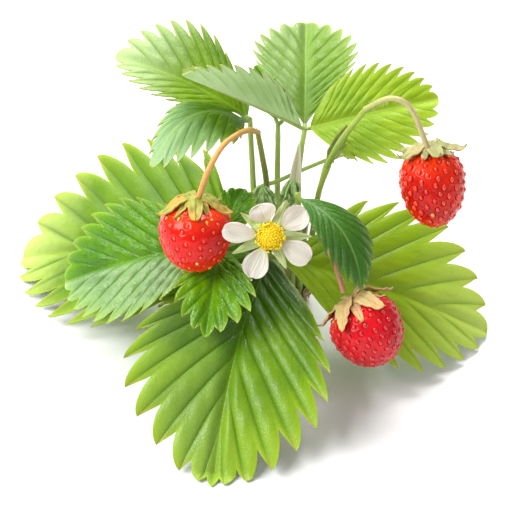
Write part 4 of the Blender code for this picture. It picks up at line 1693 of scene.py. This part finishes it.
@dataclass
class Flower:
    """The open flower: petals, sepals, stamens and the dome of pistils.

    Attributes:
        centre, facing: its middle, and the way it looks.
        petals: each petal's name, its angle in degrees, its length and its half width.
        sepals: each sepal's angle in degrees and its length.
        dome_r: the dome's radius.
        start: how far from the middle the petals begin.
    """

    centre: Vector = field(default_factory=lambda: Vector((-3.3, -24.8, 39.8)))
    facing: Vector = field(default_factory=lambda: Vector((0.0, -1.0, 0.75)).normalized())
    petals: tuple[tuple[str, float, float, float], ...] = (
        ("left", 174, 6.4, 1.95), ("top", 108, 3.6, 2.6), ("upper_right", 35, 5.6, 2.4),
        ("lower_right", -31, 6.0, 2.35), ("lower_left", -117, 5.9, 2.45))
    sepals: tuple[tuple[float, float], ...] = ((142, 7.2), (66, 7.4), (-1, 8.0), (-64, 7.0),
                                               (-155, 8.0))
    dome_r: float = 2.85
    start: float = 2.7

    def axes(self) -> tuple[Vector, Vector]:
        """The flower's own right and up, across its face."""
        right = Vector((1.0, 0.0, 0.0))
        return right, self.facing.cross(right)

    def outward(self, degrees: float) -> Vector:
        """The direction across the flower's face at an angle from its right."""
        return around(*self.axes(), math.radians(degrees))

    def build_petal(self, name: str, degrees: float, length: float, half: float,
                    seed: int) -> bpy.types.Object:
        """One petal: a rounded, cupped blade on a short claw.

        Args:
            name: the petal's name.
            degrees: its direction across the flower's face.
            length: from its claw to its end.
            half: half its greatest width.
            seed: sets its own waves.

        Returns:
            The petal.
        """
        out = self.outward(degrees)
        across = self.facing.cross(out)
        columns = 26
        rows = 24
        shift = Vector((seed * 3.7, seed * 1.3, 0.0))

        def place(column: int, row: int) -> Spot:
            """The petal's point at one crossing.

            Args:
                column: the step along it.
                row: the step across it.

            Returns:
                The point with its marks.
            """
            t = column / columns
            v = 2 * row / rows - 1
            width = (1 - abs(2 * t - 1) ** 2.7) ** 0.45 if 0 < t < 1 else 0.0
            width *= 0.58 + 0.42 * smooth(t / 0.6)
            reach = self.start + length * t * (1 - 0.03 * math.exp(-(v / 0.3) ** 2) * t)
            wave = noise.noise(shift + Vector((t * 2.1, v * 1.7, 0.5)))
            lift = 0.35 * (t - 0.15) + 0.45 * v * v * width + 0.35 * wave * smooth(t * 2)
            lift += 0.25 * math.sin(math.pi * t)
            fine = abs(math.sin(math.pi * (v * 4.5 + 0.5))) ** 8 * (1 - t * 0.5)
            return Spot(self.centre + out * reach + across * (v * half * width)
                        + self.facing * lift, fine, abs(v) ** 8, t)

        piece = shaped_grid(f"flower_petal_{name}", columns, rows, place)
        thicken(piece, 0.2, 0.0)
        shade(piece, 60)
        dress(piece, Plant.PETAL)
        return settle(piece, "petal", f"petal_{name}")

    def build_sepals(self) -> bpy.types.Object:
        """The green sepals behind the petals, with a bractlet beside each.

        Returns:
            The sepals and the cup that they stand on, as one piece.
        """
        draw = random.Random(7)
        parts = []
        back = self.centre - self.facing * 0.8
        for index, (degrees, length) in enumerate(self.sepals):
            for turn, share, half in ((0.0, 1.0, 0.95), (36.0, 0.66, 0.5)):
                out = self.outward(degrees + turn)
                across = self.facing.cross(out)
                reach = length * share
                behind = 0.35 if turn else 0.0
                route = [back + out * 0.4 - self.facing * behind,
                         back + out * (reach * 0.35) - self.facing * behind,
                         back + out * (reach * 0.7) - self.facing * (behind + 0.3),
                         back + out * reach - self.facing * (behind + draw.uniform(-0.2, 0.5))]
                strap = Strap(route, across, half, cup=0.2, widest=0.62, base_share=0.6,
                              crumple=0.3)
                parts.append(strap.build(f"flower_sepal_{index}_{int(turn)}"))
        cup = tube("flower_cup", [back - self.facing * 0.9, back - self.facing * 0.3,
                                  back + self.facing * 0.2, back + self.facing * 0.7],
                   [0.7, 1.6, 2.0, 1.9], 16)
        parts.append(cup)
        piece = join("flower_sepals", parts)
        dress(piece, Plant.SEPALS)
        return settle(piece, "sepals", "flower_calyx")

    def build_dome(self) -> bpy.types.Object:
        """The dome of pistils: a core closely set with short round-headed styles.

        Returns:
            The dome.
        """
        right, raised = self.axes()

        def core(corner: Vector) -> Vector:
            """A point of the core, which is nearly flat underneath."""
            return (self.centre + (right * corner.x + raised * corner.y) * (self.dome_r - 0.5)
                    + self.facing * (0.6 + max(corner.z, -0.3) * 1.6))

        parts = [ball(core, 24, 12)]
        count = 110
        for index in range(count):
            tilt = math.acos(1 - (index + 0.5) / count * 0.92)
            way = around(right, raised, index * GOLDEN)
            point = (self.centre + way * (math.sin(tilt) * (self.dome_r - 0.4))
                     + self.facing * (0.65 + math.cos(tilt) * 1.65))
            out = (way * math.sin(tilt) + self.facing * math.cos(tilt)).normalized()

            def style(corner: Vector) -> Vector:
                """A point of one style's head, drawn out a little from the dome."""
                return point + corner * 0.20 + out * (corner.dot(out) * 0.12)

            parts.append(ball(style))
        piece = join("flower_pistils", parts)
        tidy_mesh(piece, True)
        shade(piece, 80)
        dress(piece, Plant.DOME)
        return settle(piece, "dome", "flower_dome")

    def build_stamens(self) -> bpy.types.Object:
        """The ring of stamens: short curved filaments with two-lobed anthers.

        Returns:
            The stamens.
        """
        draw = random.Random(21)
        parts = []
        count = 26
        for index in range(count):
            out = self.outward(index * 360 / count + draw.uniform(-7, 7))
            across = self.facing.cross(out)
            lean = draw.uniform(0.0, 0.8)
            rise = draw.uniform(1.0, 1.7)
            foot = self.centre + out * 1.9 + self.facing * 0.2
            mid = self.centre + out * (2.2 + lean * 0.3) + self.facing * (0.2 + rise * 0.55)
            head = self.centre + out * (2.2 + lean) + self.facing * (0.3 + rise)
            route = smooth_route([foot, mid, head], 3)
            parts.append(tube(f"filament_{index}", route, [0.10] * len(route), 6))
            for aside in (-0.14, 0.14):

                def lobe(corner: Vector) -> Vector:
                    """A point of one lobe of the anther."""
                    return (head + across * (corner.x * 0.17 + aside) + out * (corner.y * 0.20)
                            + self.facing * (corner.z * 0.32))

                parts.append(ball(lobe))
        piece = join("flower_anthers", parts)
        tidy_mesh(piece, True)
        shade(piece, 80)
        dress(piece, Plant.STAMENS)
        return settle(piece, "stamens", "flower_stamens")

    def build(self) -> None:
        """Build every part of the flower."""
        for seed, (name, degrees, length, half) in enumerate(self.petals):
            self.build_petal(name, degrees, length, half, seed)
        self.build_sepals()
        self.build_dome()
        self.build_stamens()


# Crown, stipule, bract and buds.

@dataclass
class Crown:
    """The short woody crown with its dry scales, and the small leaves and buds above it."""

    scales: int = 14

    def build_rind(self) -> bpy.types.Object:
        """The crown's ridged rind, flat underneath.

        Returns:
            The rind.
        """
        profile = [(0.0, 0.0), (3.5, 0.0), (4.1, 0.35), (4.65, 1.4), (4.75, 2.6), (4.6, 3.6),
                   (4.35, 4.6), (3.7, 5.1), (2.4, 5.2), (0.0, 5.15)]
        line = smooth_route([(x, 0.0, z) for x, z in profile], 5)
        line[-1] = Vector((0.0, 0.0, 5.15))
        sides = 72

        def place(column: int, row: int) -> Spot:
            """The rind's point at one crossing.

            Args:
                column: the step from the middle underneath to the middle on top.
                row: the step round the crown.

            Returns:
                The point.
            """
            angle = math.tau * (row % sides) / sides
            point = line[column]
            radius = clamp(point.x, 0.0, 10.0)
            ridge = 0.14 * noise.noise(Vector((math.cos(angle) * 3, math.sin(angle) * 3, point.z)))
            ridge += 0.10 * math.sin(angle * 13 + point.z) * smooth(radius / 3)
            radius = max(radius + ridge * smooth(radius / 2), 0.0)
            height = clamp(point.z, 0.0, 5.2)
            return Spot(CROWN_AT + Vector((math.cos(angle) * radius, math.sin(angle) * radius,
                                           height)))

        piece = shaped_grid("crown_rind", len(line) - 1, sides, place, closed=True)
        shade(piece, 60)
        dress(piece, Plant.CROWN)
        return settle(piece, "crown", "crown")

    def build_scales(self) -> bpy.types.Object:
        """Dry stipule scales that wrap the crown's shoulder.

        Returns:
            The scales as one piece.
        """
        draw = random.Random(3)
        parts = []
        for index in range(self.scales):
            out = level(index * GOLDEN)
            low = 0.9 + 2.3 * draw.random()
            high = low + draw.uniform(2.6, 4.4)
            foot = CROWN_AT + out * 4.55
            route = [foot + UP * low, foot + out * 0.25 + UP * (low * 0.6 + high * 0.4),
                     foot + out * 0.1 + UP * (low * 0.2 + high * 0.8),
                     foot + out * draw.uniform(0.0, 0.6) + UP * high]
            strap = Strap(route, out.cross(UP), draw.uniform(1.1, 1.7), cup=-0.3, base_share=0.9,
                          widest=0.6, crumple=0.4)
            parts.append(strap.build(f"scale_{index}"))
        piece = join("crown_scales", parts)
        dress(piece, Plant.SCALE)
        return settle(piece, "crown")

    def build_stipule(self) -> bpy.types.Object:
        """The papery stipule that stands among the stalks.

        Returns:
            The stipule.
        """
        route = [Vector((0.2, 3.0, 4.9)), Vector((0.6, 2.8, 14.0)), Vector((1.1, 2.4, 24.0)),
                 Vector((1.8, 1.9, 34.0)), Vector((2.4, 1.6, 42.0))]
        strap = Strap(route, Vector((1.0, 0.15, 0.0)), 1.7, cup=0.5, widest=0.75, base_share=0.7,
                      lines=5, crumple=0.25)
        piece = strap.build("stipule_blade", 14)
        dress(piece, Plant.STIPULE)
        return settle(piece, "stipule", "stipule")

    def build_bract(self) -> bpy.types.Object:
        """The leafy bract at the swelling of the second peduncle.

        Returns:
            The bract.
        """
        route = [Vector((8.3, -0.1, 38.3)), Vector((9.3, 0.9, 41.4)), Vector((10.5, 0.6, 44.8)),
                 Vector((11.5, -0.2, 47.4))]
        strap = Strap(route, Vector((1.0, 0.5, -0.3)), 1.8, cup=0.45, widest=0.7, base_share=0.5,
                      lines=5, crumple=0.3)
        piece = strap.build("bract_blade", 12)
        dress(piece, Plant.BRACT)
        return settle(piece, "bract", "bract")

    def build_bud_leaves(self) -> None:
        """The two folded leaves that have not opened yet."""
        for name, base, tip, half, bend in (
                ("left", (-2.4, -5.5, 30.4), (-4.6, -6.0, 36.8), 1.7, (-0.6, -0.9, 0.0)),
                ("right", (-0.8, -4.6, 30.4), (1.2, -3.6, 36.6), 1.4, (0.4, -0.9, 0.0))):
            parts = []
            foot, end = Vector(base), Vector(tip)
            for index, spread in enumerate((-0.7, 0.0, 0.7)):
                aside = Vector((spread, abs(spread) * 0.5, 0.0))
                route = [foot, foot.lerp(end, 0.35) + Vector(bend) + aside * 0.7,
                         foot.lerp(end, 0.75) + Vector(bend) * 0.7 + aside,
                         end + aside * 0.6]
                strap = Strap(route, Vector((1.0, 0.35 * spread, 0.0)), half * 0.8, cup=0.5,
                              widest=0.85, base_share=0.3, lines=5, crumple=1.6)
                parts.append(strap.build(f"fold_{name}_{index}", 14))
            piece = join(f"bud_leaf_{name}_folds", parts)
            dress(piece, Plant.BUD)
            settle(piece, "bud", f"bud_leaf_{name}")

    def build_side_bud(self) -> bpy.types.Object:
        """The closed flower bud at the end of the side stalk.

        Returns:
            The bud.
        """
        centre = Vector((12.6, 6.4, 35.4))
        parts = []
        count = 5
        for index in range(count):
            out = level(math.tau * index / count)
            route = [centre - UP * 1.1 + out * 0.2, centre - UP * 0.4 + out * 0.75,
                     centre + UP * 0.5 + out * 0.6, centre + UP * 1.4 + out * 0.1]
            strap = Strap(route, out.cross(UP), 0.62, cup=-0.5, widest=0.7, base_share=0.5)
            parts.append(strap.build(f"bud_scale_{index}", 8))
        parts.append(tube("bud_core", [centre - UP * 1.0, centre - UP * 0.4, centre + UP * 0.4,
                                       centre + UP * 1.1], [0.25, 0.65, 0.55, 0.15]))
        piece = join("side_bud_scales", parts)
        dress(piece, Plant.SEPALS)
        return settle(piece, "bud", "side_bud")

    def build(self) -> None:
        """Build the crown and everything that sits on it."""
        self.build_rind()
        self.build_scales()
        self.build_stipule()
        self.build_bract()
        self.build_bud_leaves()
        self.build_side_bud()


# Stage.

@dataclass
class Studio:
    """The pale floor, the soft lights and the camera.

    Attributes:
        target: what the camera looks at, in plan millimetres.
        distance, elevation: the camera's distance in millimetres and its height in degrees.
        lens: the camera's focal length in millimetres.
        floor_half: half the floor's width in metres.
        sky: how strong the even light from all round is.
        lamps: each soft light's name, its place and width in metres, and its power in watts.
    """

    target: Vector = field(default_factory=lambda: Vector((-6.0, -5.0, 18.3)))
    distance: float = 480.0
    elevation: float = 40.0
    lens: float = 168.75
    floor_half: float = 1.2
    sky: float = 0.45
    lamps: tuple[tuple[str, tuple[float, float, float], float, float], ...] = (
        ("key", (-0.38, -0.17, 0.44), 0.30, 3.2),
        ("glint", (-0.30, -0.34, 0.46), 0.06, 0.45),
        ("back", (0.08, 0.32, 0.54), 0.22, 2.8),
        ("left", (-0.30, 0.32, 0.44), 0.30, 1.9))

    def build_floor(self) -> None:
        """A plain pale floor just under the sprig."""
        bpy.ops.object.select_all(action="DESELECT")
        bpy.ops.mesh.primitive_plane_add(size=self.floor_half * 2, location=(0.0, 0.0, 0.0))
        floor = bpy.context.object
        floor.name = "floor"
        board = Board("floor_white")
        board.set(Roughness=0.9)
        board.shader.inputs["Base Color"].default_value = (0.93, 0.93, 0.93, 1.0)
        floor.data.materials.append(board.material)

    def add_light(self, name: str, at: tuple[float, float, float], size: float,
                  power: float) -> None:
        """One square soft light aimed at the sprig.

        Args:
            name: the light's name.
            at: its place, in metres.
            size: its width, in metres.
            power: its power, in watts.
        """
        data = bpy.data.lights.new(name, "AREA")
        data.shape = "SQUARE"
        data.size = size
        data.energy = power
        light = bpy.data.objects.new(name, data)
        bpy.context.scene.collection.objects.link(light)
        light.location = at
        light.rotation_euler = (Vector((0.0, 0.0, 0.02)) - Vector(at)).to_track_quat(
            "-Z", "Y").to_euler()

    def build(self) -> None:
        """Set the floor, the world, the lights and the camera."""
        self.build_floor()
        scene = bpy.context.scene
        world = bpy.data.worlds.new("studio")
        world.use_nodes = True
        ground = world.node_tree.nodes["Background"]
        ground.inputs["Color"].default_value = (1.0, 1.0, 1.0, 1.0)
        ground.inputs["Strength"].default_value = self.sky
        scene.world = world
        for lamp in self.lamps:
            self.add_light(*lamp)
        camera = bpy.data.cameras.new("camera")
        camera.sensor_width = 36.0
        camera.lens = self.lens
        camera.clip_start = 0.001
        camera.clip_end = 20.0
        holder = bpy.data.objects.new("camera", camera)
        scene.collection.objects.link(holder)
        tilt = math.radians(self.elevation)
        look = Vector((0.0, math.cos(tilt), -math.sin(tilt)))
        holder.location = ORIGIN + (self.target - look * self.distance) * MM
        holder.rotation_euler = (math.radians(90.0) - tilt, 0.0, 0.0)
        scene.camera = holder
        scene.view_settings.view_transform = "Standard"


def main() -> None:
    """Build the sprig, part by part, and its stage."""
    logging.basicConfig(level=logging.INFO, format="%(name)s: %(message)s")
    Crown().build()
    for stalk in STALKS:
        stalk.build()
    for leaf in LEAVES:
        leaf.build()
    for berry in BERRIES:
        berry.build()
    Flower().build()
    Studio().build()


if __name__ == "__main__":
    main()
